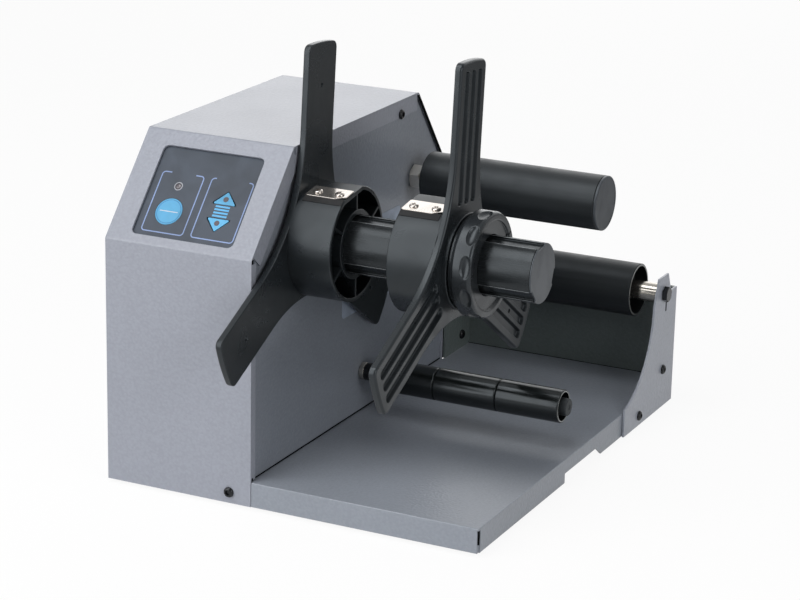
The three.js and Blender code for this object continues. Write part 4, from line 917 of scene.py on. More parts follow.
def buildFlange(node, gripNode, face, way, boss):
    # face is the ribbed side's X; way points from it to the roll side
    f = flange
    axis = axisOf("spindle_tube")[3]
    place = onAxis(axis)

    def across(w):
        return face + way * w

    def slab(outline, near, far, nearEdge, farEdge):
        if way > 0:
            return softSlab(outline, across(near), across(far), nearEdge, place, 5, farEdge)
        return softSlab(outline, across(far), across(near), farEdge, place, 5, nearEdge)

    def cutter(levels, turn):
        return stack([(across(w), turnedOutline(outline, turn)) for w, outline in levels], place)

    def lathe(corners):
        return softTurned([(across(c[0]), *c[1:]) for c in corners], axis, f["sides"])

    thick = f["thickness"]
    half = f["grooveWidth"] / 2
    groove = [*f["grooveLip"], *((f["grooveDepth"] - up, out) for up, out in f["grooveFloor"])]
    pin = f["pinRadius"]
    wide = pin + f["pinChamfer"]
    hole = [(-1, wide), (0.02, wide), (f["pinChamfer"], pin), (thick - f["pinChamfer"], pin),
            (thick - 0.02, wide), (thick + 1, wide)]
    grooves = []
    holes = []
    for k in range(f["arms"]):
        turn = math.radians(f["lean"]) + 2 * math.pi * k / f["arms"]
        for i in range(f["grooves"]):
            middle = (i - (f["grooves"] - 1) / 2) * f["pitch"]
            outline = rectangle(middle - half, middle + half, *f["grooveSpan"], f["grooveCorner"], 7)
            grooves.append(cutter([(w, grown(outline, out)) for w, out in groove], turn))
        holes.append(cutter([(w, circle(0, f["pinReach"], radius, 20)) for w, radius in hole], turn))
    whole = slab(flangeOutline(), 0, thick, f["faceEdge"], f["backEdge"])
    whole = combine(whole, joined(*grooves), "DIFFERENCE")
    whole = combine(whole, joined(*holes), "DIFFERENCE")

    # the hub stands a little way into the plate, with its sleeve, spokes and the pad under its flat
    root = thick - f["hubRoot"]
    end = thick + f["hubLength"]
    core = f["coreRadius"]
    shell = core - f["hubWall"]
    seat = core - f["hubWall"] / 2
    sleeve = f["bore"] + f["boreWall"]
    inside = f["bore"] - f["boreSpare"]
    ribs = [
        lathe([(root, shell), (root, core), (end, core, f["hubEdge"]), (end, shell, f["hubInnerEdge"])]),
        lathe([(root, inside), (root, sleeve), (end, sleeve, f["sleeveEdge"]), (end, inside)]),
    ]
    half = f["spokeWidth"] / 2
    for k in range(f["spokes"]):
        spoke = turnedOutline(rectangle(-half, half, f["bore"] + 1, seat), 2 * math.pi * k / f["spokes"])
        ribs.append(slab(spoke, root, end - f["spokeShort"], f["footEdge"], f["ribEdge"]))
    lean = math.radians(f["padLean"])
    low = f["padReach"] - f["padWall"]
    high = f["padReach"] + f["padSpare"]
    lowHalf, highHalf = (math.sqrt(seat ** 2 - v ** 2) for v in (low, high))
    pad = [Vector(p) for p in ((-lowHalf, low), (lowHalf, low), (highHalf, high), (-highHalf, high))]
    ribs.append(slab(turnedOutline(pad, lean), root, end - f["padShort"], f["footEdge"], f["ribEdge"]))
    for rib in ribs:
        whole = combine(whole, rib, "UNION")
    flat = rectangle(-core, core, f["padReach"], core + 2)
    whole = combine(whole, cutter([(thick, flat), (end + 1, flat)], lean), "DIFFERENCE")
    if boss:
        top = -f["bossHeight"]
        collar = lathe([(1, inside), (top, inside), (top, f["bossRadius"], f["bossEdge"]),
                        (1, f["bossRadius"])])
        whole = combine(whole, collar, "UNION")
    bore = lathe([(-5, 0), (-5, f["bore"]), (end + 1, f["bore"]), (end + 1, 0)])
    replaceNode(node, combine(whole, bore, "DIFFERENCE"), sharpAngle=34)
    buildGripPlate(gripNode, face, way, axis)


grip = {
    "length": 28, "width": 15, "thickness": 0.8, "gap": 0.3, "endInset": 0.4, "forward": 5.8,
    "edge": 0.22, "leftCorner": 1.2, "rightCorner": 0.8, "chamferLength": 6.3, "chamferWidth": 4,
    "screwsFromLeft": (6.2, 21.9), "screwFromFront": 6.6, "screwSunk": 0.05,
    # the shadow keys and lipEdge place and round the strip of painted shadow under the plate's front edge
    "shadowAngles": (19, 27), "shadowOut": 0.35, "shadowIn": 0.3, "lipEdge": 0.1,
}
gripScrews = {}


def buildGripPlate(node, face, way, axis):
    # both plates are alike, with the right front corner cut off
    g = grip
    far = face + way * (flange["thickness"] + flange["hubLength"] - g["endInset"])
    left = min(far, far - way * g["length"])
    right = left + g["length"]
    front = -g["forward"] - g["width"] / 2
    back = front + g["width"]
    low = flange["padReach"] + g["gap"]
    high = low + g["thickness"]
    outline = rounded([
        (left, front, g["leftCorner"]), (right - g["chamferLength"], front, g["rightCorner"]),
        (right, front + g["chamferWidth"], g["rightCorner"]), (right, back, g["rightCorner"]),
        (left, back, g["leftCorner"])], 4)
    lean = Matrix.Rotation(math.radians(flange["padLean"]), 4, "X")
    place = Matrix.Translation((0, *axis)) @ lean
    replaceNode(node, softSlab(outline, low, high, g["edge"], place))
    # painted shadow: a dark strip on the round of the hub under the plate's front edge, where the plate
    # casts its shadow
    first, last = (math.radians(angle) for angle in g["shadowAngles"])
    outer = flange["coreRadius"] + g["shadowOut"]
    inner = flange["coreRadius"] - g["shadowIn"]
    centre = Vector((0, 0))
    shadowBand = arcPoints(centre, heading(first)[0] * outer, heading(last)[0] * outer, 8)
    shadowBand += arcPoints(centre, heading(last)[0] * inner, heading(first)[0] * inner, 8)
    painted_shadow = softSlab(shadowBand, left, right, g["lipEdge"], place @ alongX)
    addPiece(f"{node}_lip", painted_shadow, bodyOf(node), "foot_rubber")
    aim = lean @ Vector((0, 0, 1))
    across = front + g["screwFromFront"]
    spots = [Vector((left + along, across, high - g["screwSunk"])) for along in g["screwsFromLeft"]]
    gripScrews[node] = [(place @ spot, aim) for spot in spots]


buildFlange("inner_flange", "inner_grip_plate", spanOf("inner_flange")[0].x, 1, False)
outerFace = spanOf("outer_flange")[1].x - flange["bossHeight"]
buildFlange("outer_flange", "outer_grip_plate", outerFace, -1, True)
print("core flanges made")


# spindle and clamp nut

spindle = {
    "grooves": 3, "grooveWidth": 10, "grooveDepth": 2.2, "lipEdge": 0.3, "floorEdge": 0.4,
    "lipStart": 0.7, "arcSteps": 30, "lean": 10.3, "wall": 3, "edge": 0.3, "seam": 0.25,
    "capPlate": 0.9, "capPlay": 0.3, "capEdge": 0.3, "capBackEdge": 0.1, "plugEdge": 0.4,
    "bead": 0.2, "beadSunk": 0.12, "beadShort": 0.5,
}
# a light finish for the beads that paint the highlight along the spindle grooves' lips
lipHighlight = makeFinish("lip_highlight", {**drawnLook, "colour": (128, 132, 134), "metallic": 0.5})


def groovedOutline(radius):
    # one third at a time: a groove with rounded lips, then the round stretch to the next groove
    s = spindle
    half = s["grooveWidth"] / 2
    side = half + s["lipStart"]
    floor = radius - s["grooveDepth"]
    painted_shadow = math.sqrt(radius ** 2 - half ** 2)
    third = rounded([(side, math.sqrt(radius ** 2 - side ** 2)), (half, painted_shadow, s["lipEdge"]),
                     (half, floor, s["floorEdge"]), (-half, floor, s["floorEdge"]),
                     (-half, painted_shadow, s["lipEdge"])], 3)
    start = math.atan2(side, painted_shadow)
    stretch = 2 * math.pi / s["grooves"] - 2 * start
    for i in range(s["arcSteps"]):
        a = math.pi / 2 + start + stretch * (i + 0.5) / s["arcSteps"]
        third.append(Vector((math.cos(a), math.sin(a))) * radius)
    points = []
    for k in range(s["grooves"]):
        points += turnedOutline(third, math.radians(s["lean"]) + 2 * math.pi * k / s["grooves"])
    return points


def buildSpindle():
    s = spindle
    x0, radius = (axisOf("spindle_tube")[i] for i in (0, 2))
    c0, c1, capRadius, axis = axisOf("spindle_cap")
    plate = c1 - s["capPlate"]
    x1 = plate - s["seam"]
    place = onAxis(axis)
    outer = groovedOutline(radius)
    inner = [point.normalized() * (radius - s["wall"]) for point in outer]
    edged = grown(outer, -s["edge"])
    bm = bmesh.new()
    levels = [(x0, outer), (x1 - s["edge"], outer), (x1, edged), (x1, inner), (x0, inner)]
    replaceNode("spindle_tube", bridgeRound(bm, raisedRings(bm, levels, place)))

    bore = radius - s["wall"] - s["capPlay"]
    profile = [(c0, 0), (c0, bore, s["plugEdge"]), (plate, bore), (plate, capRadius, s["capBackEdge"]),
               (c1, capRadius, s["capEdge"]), (c1, 0)]
    cap = softTurned(profile, axis, 120)
    cap = combine(cap, stack([(c0 - 1, outer), (c1 + 1, outer)], place), "INTERSECT")
    replaceNode("spindle_cap", cap)

    # painted highlight: thin bright beads along the grooves' lips stand in for the light they catch
    beads = []
    half = math.asin(s["grooveWidth"] / 2 / radius)
    for k in range(s["grooves"]):
        for side in (-half, half):
            turn = math.radians(s["lean"]) + 2 * math.pi * k / s["grooves"] + side
            spot = heading(turn)[0] * (radius - s["beadSunk"])
            outline = circle(*spot, s["bead"], 10)
            beads.append(stack([(x0 + s["beadShort"], outline), (x1 - s["beadShort"], outline)], place))
    addPiece("spindle_lip_highlights", joined(*beads), "spindle", "spindle_black", (), lipHighlight)


# the sections' points are (along, drop): from the back face below the collar, from the collar's end and
# before the band below the rim, and behind the front face out from the face's rim
nut = {
    "collarRadius": 30, "radius": 34.3, "collar": 2.2, "shoulder": 3, "painted_shadow": 2.4, "lipSteps": 10,
    "rimSteps": 24, "faceRadius": 28.8, "faceDepth": 1.5, "boreChamfer": 0.4, "sides": 480,
    "collarSection": ((0, 0.4), (0.15, 0.1), (0.4, 0)),
    "shoulderSection": ((0.1, 2.4), (0.5, 2.05), (1.0, 1.9)),
    "bandSection": ((0.9, 1.3), (0.7, 0.5), (0.35, 0.1), (0, 0)),
    "faceSection": ((0, 1.2), (0, 0.3), (0.3, 0), (1.3, -0.2), (1.5, -0.5)),
    "flutes": 10, "fluteStart": 7, "fluteLength": 14.4, "fluteWidth": 7.4, "fluteDepth": 2.2,
    "fluteFromFront": 3.8, "slitWidth": 1.1, "slitLean": -60, "slitInset": 2.5,
}


def buildFluteTree():
    # presses a ring of oval scoops into a turned body: each point inside an oval moves in
    tree, entry, leave = geometryTree("scalloped rim", [
        ("Centre", vector, (0, 0, 0)), ("Flutes", number, 10), ("Flute Start", number, 0.0),
        ("Flute Length", number, 14.0), ("Flute Width", number, 7.0), ("Flute Depth", number, 2.0),
        ("Rim Radius", number, 34.0), ("Bowl Power", number, 0.55)])
    place = tree.nodes.new("GeometryNodeInputPosition").outputs[0]
    split = parted(tree, vectorMaths(tree, "SUBTRACT", place, entry["Centre"]))
    radius = lengthOf(tree, split[1], split[2])
    angle = maths(tree, "ADD", maths(tree, "ARCTAN2", split[1], split[2]), entry["Flute Start"])
    share = maths(tree, "DIVIDE", maths(tree, "MULTIPLY", angle, entry["Flutes"]), 2 * math.pi)
    offset = maths(tree, "SUBTRACT", share, maths(tree, "ROUND", share))
    arc = maths(tree, "DIVIDE", maths(tree, "MULTIPLY", offset, 2 * math.pi), entry["Flutes"])
    sideways = maths(tree, "DIVIDE", maths(tree, "MULTIPLY", arc, radius),
                     maths(tree, "MULTIPLY", entry["Flute Length"], 0.5))
    lengthways = maths(tree, "DIVIDE", split[0], maths(tree, "MULTIPLY", entry["Flute Width"], 0.5))
    span = squareSum(tree, sideways, lengthways)
    inside = maths(tree, "MAXIMUM", maths(tree, "SUBTRACT", 1.0, span), 0.0)
    bowl = maths(tree, "MULTIPLY", maths(tree, "POWER", inside, entry["Bowl Power"]),
                 entry["Flute Depth"])
    scooped = maths(tree, "SUBTRACT", entry["Rim Radius"], bowl)
    push = maths(tree, "MAXIMUM", maths(tree, "SUBTRACT", radius, scooped), 0.0)
    inward = vectorMaths(tree, "NORMALIZE", together(tree, 0.0, split[1], split[2]))
    move = addNode(tree, "ShaderNodeVectorMath", {
        0: inward, "Scale": maths(tree, "MULTIPLY", push, -1.0)}, operation="SCALE")
    moved = addNode(tree, "GeometryNodeSetPosition", {
        "Geometry": entry["Geometry"], "Offset": move.outputs[0]})
    return endGeometry(tree, entry, leave, moved.outputs[0])


def buildClampNut():
    n = nut
    x0, x1, axis = (axisOf("clamp_nut")[i] for i in (0, 1, 3))
    rim = n["radius"]
    bore = flange["bore"]
    shoulder = x0 + n["collar"]
    band = shoulder + n["shoulder"]
    crown = x1 - n["painted_shadow"]
    floor = x1 - n["faceDepth"]
    profile = [(x0, bore)]
    profile += [(x0 + along, n["collarRadius"] - drop) for along, drop in n["collarSection"]]
    profile += [(shoulder, n["collarRadius"])]
    profile += [(shoulder + along, rim - drop) for along, drop in n["shoulderSection"]]
    profile += [(band - before, rim - drop) for before, drop in n["bandSection"]]
    # fine steps along the rim, so that the scoops come out smooth
    profile += [(band + (crown - band) * k / n["rimSteps"], rim) for k in range(1, n["rimSteps"])]
    for k in range(n["lipSteps"] + 1):
        a = math.pi / 2 * k / n["lipSteps"]
        profile.append((x1 - n["painted_shadow"] * (1 - math.sin(a)), rim - n["painted_shadow"] * (1 - math.cos(a))))
    profile += [(x1 - behind, n["faceRadius"] + out) for behind, out in n["faceSection"]]
    profile += [(floor, bore + n["boreChamfer"]), (floor - n["boreChamfer"], bore)]
    body = toMesh("clamp_nut", turned(profile, axis, n["sides"]))
    fluted = grownByNodes("clamp_nut", body, buildFluteTree(), {
        "Centre": (x1 - n["fluteFromFront"], *axis), "Flutes": float(n["flutes"]),
        "Flute Start": math.radians(n["fluteStart"]), "Flute Length": n["fluteLength"],
        "Flute Width": n["fluteWidth"], "Flute Depth": n["fluteDepth"], "Rim Radius": rim,
        "Finish": finishes["nut_plastic"]})
    half = n["slitWidth"] / 2
    slit = rectangle(-half, half, n["faceRadius"] - n["slitInset"], rim + 1)
    slit = turnedOutline(slit, math.radians(n["slitLean"]))
    cutter = stack([(floor - n["painted_shadow"], slit), (x1 + 1, slit)], onAxis(axis))
    replaceNode("clamp_nut", combine(fromMesh(fluted), cutter, "DIFFERENCE"), sharpAngle=50)


buildSpindle()
buildClampNut()
print("spindle and clamp nut made")


# rollers, shafts and caps

rollers = {
    "play": 0.3, "topWall": 2.8, "topEdge": 0.6, "topCapPlate": 1.8, "topCapRim": 1.3,
    "topCapDish": 0.25, "topCapSlope": 0.2, "topCapEdge": 0.7, "topCapBackEdge": 0.15, "plugEdge": 0.5,
    "lowerWall": 1.8, "lowerEdge": 0.5, "lowerCut": 0.3, "lowerBore": 3.3, "lowerBoreDepth": 14.5,
    "shaftEdge": 0.7, "sleeveWall": 1.6, "sleeveEdge": 0.9, "sleeveInnerEdge": 0.3, "sleeveCut": 0.6,
    "sleeveWeb": 12, "webEdge": 0.5, "spacerEdge": 0.5, "collarEdge": 0.3, "footEdge": 0.5,
    "studRadius": 5, "studEdge": 0.8,
    "guideBore": 5.3, "guideEdge": 0.6, "collar": 3.6, "collarGap": 0.1, "endCapDepth": 1.3,
    "endCapEdge": 0.9, "endCapBackEdge": 0.3, "endCapDimple": 0.5, "dimpleRadius": 2.2,
    "dimpleFloor": 1.6,
}
# a shaded copy of the roller finish for the lower tube: its weaker reflections paint it darker than the
# top roller
shadedLowerTubeFinish = makeFinish("lower_roller_black_shaded", {**looks["roller_black"], "specular": 0.3})
sleeveFinish = makeFinish("sleeve_black", {
    **looks["roller_black"], "colour": (20, 23, 23), "roughness": 0.16, "bump": 0.2})
# the outer bush at the lower tube's end is drawn dark rather than in the pale nylon colour
darkOuterBush = makeFinish("outer_bush_dark", {**looks["nylon"], "colour": (40, 42, 44)})
zincLook = {**looks["bright_steel"], "colour": (226, 223, 217), "metallic": 0.6, "roughness": 0.3}
# bare metal at the tubes' cut ends, made light to paint the highlight on their rims
cutEndHighlight = makeFinish("cut_end_highlight", {**turnedLook, "colour": (150, 153, 152), "metallic": 0.3})


def replaceTube(node, bore, edge=0.4, sides=64, material=None):
    x0, x1, radius, axis = axisOf(node)
    tube = softTurned(tubeProfile(x0, x1, bore, radius, edge), axis, sides)
    replaceNode(node, tube, material=material)


def replaceRod(node, edge):
    x0, x1, radius, axis = axisOf(node)
    replaceNode(node, softTurned(rodProfile(x0, x1, radius, edge), axis, 64))


cutRing = {
    "thickness": 0.3, "proud": 0.04, "innerGap": 0.1, "outerGap": 0.2, "edge": 0.06, "innerEdge": 0.03}


def addCutRing(name, node, inner, outer):
    # the bare cut end of a coated tube, drawn light as a painted highlight on its rim
    c = cutRing
    end, axis = (axisOf(node)[i] for i in (1, 3))
    profile = tubeProfile(end - c["thickness"], end + c["proud"], inner + c["innerGap"],
                          outer - c["outerGap"], c["edge"], c["innerEdge"])
    addPiece(name, softTurned(profile, axis, 96), bodyOf(node), "bright_steel", (), cutEndHighlight)


def buildTopRoller():
    r = rollers
    bore = axisOf("top_roller_tube")[2] - r["topWall"]
    replaceTube("top_roller_tube", bore, r["topEdge"], 120)
    c0, c1, radius, axis = axisOf("top_roller_cap")
    plate = c1 - r["topCapPlate"]
    plug = bore - r["play"]
    rim = radius - r["topCapRim"]
    dish = c1 - r["topCapDish"]
    profile = [(c0, 0), (c0, plug, r["plugEdge"]), (plate, plug), (plate, radius, r["topCapBackEdge"]),
               (c1, radius, r["topCapEdge"]), (c1, rim), (dish, rim - r["topCapSlope"]), (dish, 0)]
    replaceNode("top_roller_cap", softTurned(profile, axis, 120))
    for node in ("top_roller_bush_inner", "top_roller_bush_outer"):
        replaceTube(node, r["studRadius"] + r["play"])
    replaceRod("top_roller_stud", r["studEdge"])
    for node in ("top_roller_nut", "top_roller_lock_nut", "guide_shaft_nut"):
        buildHexNut(node, r["studRadius"] + r["play"])


hexagon = {"turn": 12, "nutChamfer": 0.9, "spare": 0.2, "flatSpare": 0.1}


def buildHexNut(node, bore):
    # a hexagon cut down to a chamfered disc on both faces
    h = hexagon
    x0, x1, corner, axis = axisOf(node)
    flats = corner * math.cos(math.pi / 6) + h["flatSpare"]
    wide = corner + h["spare"]
    prism = turned([(x0, bore), (x0, corner), (x1, corner), (x1, bore)], axis, 6, math.radians(h["turn"]))
    lens = softTurned([(x0, 0), (x0, flats), (x0 + h["nutChamfer"], wide), (x1 - h["nutChamfer"], wide),
                       (x1, flats), (x1, 0)], axis, 72)
    zinc = centredFinish("zinc", zincLook, node)
    replaceNode(node, combine(prism, lens, "INTERSECT"), material=zinc, sharpAngle=25)


def buildLowerRoller():
    r = rollers
    radius = axisOf("lower_roller_tube")[2]
    bore = radius - r["lowerWall"]
    replaceTube("lower_roller_tube", bore, r["lowerEdge"], 120, shadedLowerTubeFinish)
    addCutRing("lower_roller_cut_end", "lower_roller_tube", bore, radius - r["lowerCut"])
    x0, x1, shaft, axis = axisOf("lower_roller_shaft")
    for node, material in (("lower_roller_bush_inner", None), ("lower_roller_bush_outer", darkOuterBush)):
        replaceTube(node, shaft + r["play"], material=material)
    hole = r["lowerBore"]
    deep = r["lowerBoreDepth"]
    profile = [(x0, hole), (x0, shaft, r["shaftEdge"]), (x1, shaft, r["shaftEdge"]), (x1, hole, 0.2),
               (x1 - deep, hole), (x1 - deep, 0), (x0 + deep, 0), (x0 + deep, hole)]
    replaceNode("lower_roller_shaft", softTurned(profile, axis, 72))
    for node, way in (("lower_shaft_screw_right", 1), ("lower_shaft_screw_left", -1)):
        buildHexScrew(node, way)


hexScrew = {
    "head": 2.7, "taller": 0.85, "chamfer": 0.7, "shank": 3, "shankSunk": 0.5, "tip": 0.6,
    "tipRadius": 2.4,
}


def buildHexScrew(node, way):
    # way points from the shank to the head
    s = hexScrew
    x0, x1, corner, axis = axisOf(node)
    outer, seat = (x1 + s["taller"], x1 - s["head"]) if way > 0 else (x0, x0 + s["head"])
    far = x0 if way > 0 else x1
    flats = corner * math.cos(math.pi / 6) - hexagon["flatSpare"]
    wide = corner + hexagon["spare"]
    root = seat + way * s["shankSunk"]
    prism = turned([(seat, 0), (seat, corner), (outer, corner), (outer, 0)], axis, 6)
    lens = turned([(seat, 0), (seat, wide), (outer - way * s["chamfer"], wide), (outer, flats),
                   (outer, 0)], axis, 72)
    shank = turned([(root, 0), (root, s["shank"]), (far + way * s["tip"], s["shank"]),
                    (far, s["tipRadius"]), (far, 0)], axis, 32)
    bolt = combine(prism, lens, "INTERSECT")
    replaceNode(node, combine(bolt, shank, "UNION"), sharpAngle=25)


def buildGuide():
    r = rollers
    inner = r["guideBore"]
    for k in (1, 2, 3):
        node = f"guide_sleeve_{k}"
        x0, x1, radius, axis = axisOf(node)
        bore = radius - r["sleeveWall"]
        low = (x0 + x1) / 2 - r["sleeveWeb"] / 2
        high = low + r["sleeveWeb"]
        profile = tubeProfile(x0, x1, bore, radius, r["sleeveEdge"], r["sleeveInnerEdge"])
        profile += [(high, bore, r["webEdge"]), (high, inner), (low, inner), (low, bore, r["webEdge"])]
        replaceNode(node, softTurned(profile, axis, 96), material=sleeveFinish)
    addCutRing("guide_cut_end", node, bore, radius - r["sleeveCut"])
    replaceRod("guide_shaft", r["guideEdge"])
    x0, x1, radius, axis = axisOf("guide_spacer")
    split = x0 + r["collar"]
    spacer = softTurned(tubeProfile(split, x1, inner, radius, r["spacerEdge"]), axis, 64)
    replaceNode("guide_spacer", spacer)
    collarEnd = split - r["collarGap"]
    collar = softTurned(tubeProfile(x0, collarEnd, inner, radius, r["collarEdge"]), axis, 64)
    collarFinish = centredFinish("bright_steel", looks["bright_steel"], "guide_spacer")
    addPiece("guide_collar", collar, "frame", "bright_steel", (), collarFinish)
    x0, x1, radius, axis = axisOf("guide_end_cap")
    deep = x0 + r["endCapDepth"]
    dimple = x1 - r["endCapDimple"]
    profile = [(deep, 0), (deep, inner), (x0, inner, 0.1), (x0, radius, r["endCapBackEdge"]),
               (x1, radius, r["endCapEdge"]), (x1, r["dimpleRadius"]), (dimple, r["dimpleFloor"]),
               (dimple, 0)]
    replaceNode("guide_end_cap", softTurned(profile, axis, 64))


def buildFeet():
    for node in ("foot_front_left", "foot_front_right", "foot_rear_left", "foot_rear_right"):
        low, high = spanOf(node)
        middle = (low + high) / 2
        outline = circle(middle.x, middle.y, (high.x - low.x) / 2, 48)
        replaceNode(node, softSlab(outline, low.z, high.z, rollers["footEdge"], alongZ))


buildTopRoller()
buildLowerRoller()
buildGuide()
buildFeet()
print("rollers, guide and feet made")


# small screws, all grown from one tree

pan = {"flatPower": -0.42, "domePower": 0.7, "underside": 0.15, "barShare": 0.5}


def buildScrewTree():
    # a pan head with a hexagon or a cross pressed into it, one on each point, facing its aim
    tree, entry, leave = geometryTree("screw heads", [
        ("Head Radius", number, 3.4), ("Head Height", number, 2.0), ("Recess Size", number, 2.0),
        ("Recess Depth", number, 1.2), ("Cross", choice, False), ("Seed", wholeNumber, 7)])
    ball = addNode(tree, "GeometryNodeMeshUVSphere", {"Segments": 40, "Rings": 22, "Radius": 1.0})
    split = parted(tree, tree.nodes.new("GeometryNodeInputPosition").outputs[0])
    flat = maths(tree, "MAXIMUM", lengthOf(tree, split[0], split[1]), 0.02)
    swell = maths(tree, "MULTIPLY", entry["Head Radius"], maths(tree, "POWER", flat, pan["flatPower"]))
    upper = maths(tree, "POWER", maths(tree, "MAXIMUM", split[2], 0.0), pan["domePower"])
    lower = maths(tree, "MULTIPLY", maths(tree, "MINIMUM", split[2], 0.0), pan["underside"])
    rise = maths(tree, "MULTIPLY", entry["Head Height"], maths(tree, "ADD", upper, lower))
    across = [maths(tree, "MULTIPLY", split[i], swell) for i in (0, 1)]
    swollen = together(tree, *across, rise)
    body = addNode(tree, "GeometryNodeSetPosition", {"Geometry": ball.outputs[0], "Position": swollen})
    wide = maths(tree, "MULTIPLY", entry["Recess Size"], 2.0)
    narrow = maths(tree, "MULTIPLY", entry["Recess Size"], pan["barShare"])
    deep = maths(tree, "MULTIPLY", entry["Recess Depth"], 2.0)
    socket = addNode(tree, "GeometryNodeMeshCylinder", {
        "Vertices": 6, "Radius": entry["Recess Size"], "Depth": deep})
    cross = addNode(tree, "GeometryNodeMeshBoolean", operation="UNION", solver="EXACT")
    for size in ((wide, narrow, deep), (narrow, wide, deep)):
        bar = addNode(tree, "GeometryNodeMeshCube", {"Size": together(tree, *size)})
        tree.links.new(bar.outputs[0], cross.inputs[1])
    recess = addNode(tree, "GeometryNodeSwitch", {
        "Switch": entry["Cross"], "False": socket.outputs[0], "True": cross.outputs[0]},
        input_type="GEOMETRY")
    raised = addNode(tree, "GeometryNodeTransform", {
        "Geometry": recess.outputs[0], "Translation": together(tree, z=entry["Head Height"])})
    head = addNode(tree, "GeometryNodeMeshBoolean", {0: body.outputs[0], 1: raised.outputs[0]},
                   operation="DIFFERENCE", solver="EXACT")
    aim = addNode(tree, "GeometryNodeInputNamedAttribute", {"Name": "aim"}, data_type="FLOAT_VECTOR")
    facing = addNode(tree, "FunctionNodeAlignRotationToVector", {"Vector": aim.outputs[0]}, axis="Z")
    spin = addNode(tree, "FunctionNodeRandomValue", {"Seed": entry["Seed"], 3: math.tau},
                   data_type="FLOAT")
    around = addNode(tree, "FunctionNodeAxisAngleToRotation", {
        "Axis": (0, 0, 1), "Angle": spin.outputs[1]})
    turn = addNode(tree, "FunctionNodeRotateRotation", {
        "Rotation": facing.outputs[0], "Rotate By": around.outputs[0]}, rotation_space="LOCAL")
    placed = addNode(tree, "GeometryNodeInstanceOnPoints", {
        "Points": entry["Geometry"], "Instance": head.outputs[0], "Rotation": turn.outputs[0]})
    return endGeometry(tree, entry, leave, placed.outputs[0])


screwTree = buildScrewTree()


def addScrews(name, spots, body, slotName, sizes):
    # spots are (place, direction) in housing millimetres
    mesh = bpy.data.meshes.new("spots")
    mesh.from_pydata([tuple(place) for place, aim in spots], [], [])
    aims = mesh.attributes.new("aim", "FLOAT_VECTOR", "POINT")
    for i, (place, aim) in enumerate(spots):
        aims.data[i].vector = aim
    made = grownByNodes(name, mesh, screwTree, {**sizes, "Finish": finishes[slotName]})
    made.transform(toRow)
    addMesh(name, made, body, slotName, sharpAngle=32)


caseScrew = {
    "Head Radius": 3.5, "Head Height": 2.1, "Recess Size": 1.9, "Recess Depth": 1.3, "Cross": False}
gripScrew = {
    "Head Radius": 3.1, "Head Height": 1.5, "Recess Size": 1.7, "Recess Depth": 0.9, "Cross": True}
tabSheet = 1.5
tabFace = spanOf("rear_wall")[0].x + tabSheet
bracketFace = spanOf("side_bracket")[1].x
rearFace = spanOf("cover")[1].y
caseSpots = [
    ((-16, 0, 7.5), (0, -1, 0)),
    ((0, 210.6, 217.8), (1, 0, 0)),
    ((tabFace, 318.3, 27.8), (1, 0, 0)),
    ((bracketFace, 268.8, 7.4), (1, 0, 0)),
    ((bracketFace, 312.9, 29.0), (1, 0, 0)),
    ((-16, rearFace, 7.5), (0, 1, 0)),
    ((-92, rearFace, 7.5), (0, 1, 0)),
]
addScrews("case_screws", caseSpots, "frame", "black_screw", caseScrew)
addScrews("inner_grip_screws", gripScrews["inner_grip_plate"], "spindle", "grip_steel", gripScrew)
addScrews("outer_grip_screws", gripScrews["outer_grip_plate"], "sliding_flange", "grip_steel", gripScrew)
print("screws made")


# a pale rectangle on the side plate, the inlet's pins and dark strips that paint the shade in open seams

palePatch = {
    "y": (128.5, 215), "z": (91.5, 152), "corner": 3, "thickness": 0.3, "sunk": 0.1, "edge": 0.12}
palePatchLook = {**plasticLook, "colour": (176, 188, 206), "size": 0.6, "roughness": 0.45}


def buildPalePatch():
    # a thin pale rectangle raised on the side plate's face
    s = palePatch
    outer = spanOf("side_plate")[1].x
    outline = rectangle(*s["y"], *s["z"], s["corner"], 6)
    slab = softSlab(outline, outer - s["sunk"], outer + s["thickness"], s["edge"])
    addPiece("side_pale_patch", slab, "frame", "side_paint", (), makeFinish("pale_patch", palePatchLook))


# the pins' places are (x, z) from the inlet's middle, and their span runs in from its rear face
pins = {"places": ((-7, -2), (0, 2), (7, -2)), "half": (1.15, 2.15), "span": (18, 5), "edge": 0.5}


def buildInletPins():
    low, high = spanOf("power_inlet")
    middle = (low + high) / 2
    halfX, halfZ = pins["half"]
    deep, near = pins["span"]
    made = []
    for dx, dz in pins["places"]:
        x = middle.x + dx
        z = middle.z + dz
        outline = rectangle(x - halfX, x + halfX, z - halfZ, z + halfZ, pins["edge"], 3)
        made.append(softSlab(outline, high.y - deep, high.y - near, pins["edge"], alongY))
    addPiece("inlet_pins", joined(*made), "frame", "bright_steel")


# painted shade: a near-black, dull finish for strips that stand in for the shade in seams and slits
seamShadeLook = {**plasticLook, "colour": (12, 13, 14), "roughness": 0.9, "specular": 0.05}
seamShadeEdge = {"corner": 0.05, "rim": 0.02}

# dark strips of painted shade in the gaps between sheets: (x, x, y, y, z, z)
seamShadeStrips = (
    (-0.9, 0.15, 289.1, 291.5, 17.4, 101),
    (0.2, 162.2, 332.6, 334, 16.3, 17.3),
    (bracketFace - 1.3, bracketFace + 0.08, 312.4, 314.6, 73, 79.9),
    (160.85, 161.9, 0.5, 1.6, 6, 16.2),
    (-1.5, -1.1, 3, 287.5, 17.03, 17.9),
    (-1.2, 0.06, 1.3, 3.2, 17.3, 19.3),
    (-0.7, 0.06, 0.6, 2.8, 163.2, 166.2),
)

# painted shade along the edge of the housing's rear slope: its two ends as (y, z), how far in from the
# outside, and x
slopeSeamShade = {
    "top": (238.5, 228), "foot": (289, 164), "short": 1.2, "inset": (0.15, 2.3), "x": (-0.5, 0.08)}


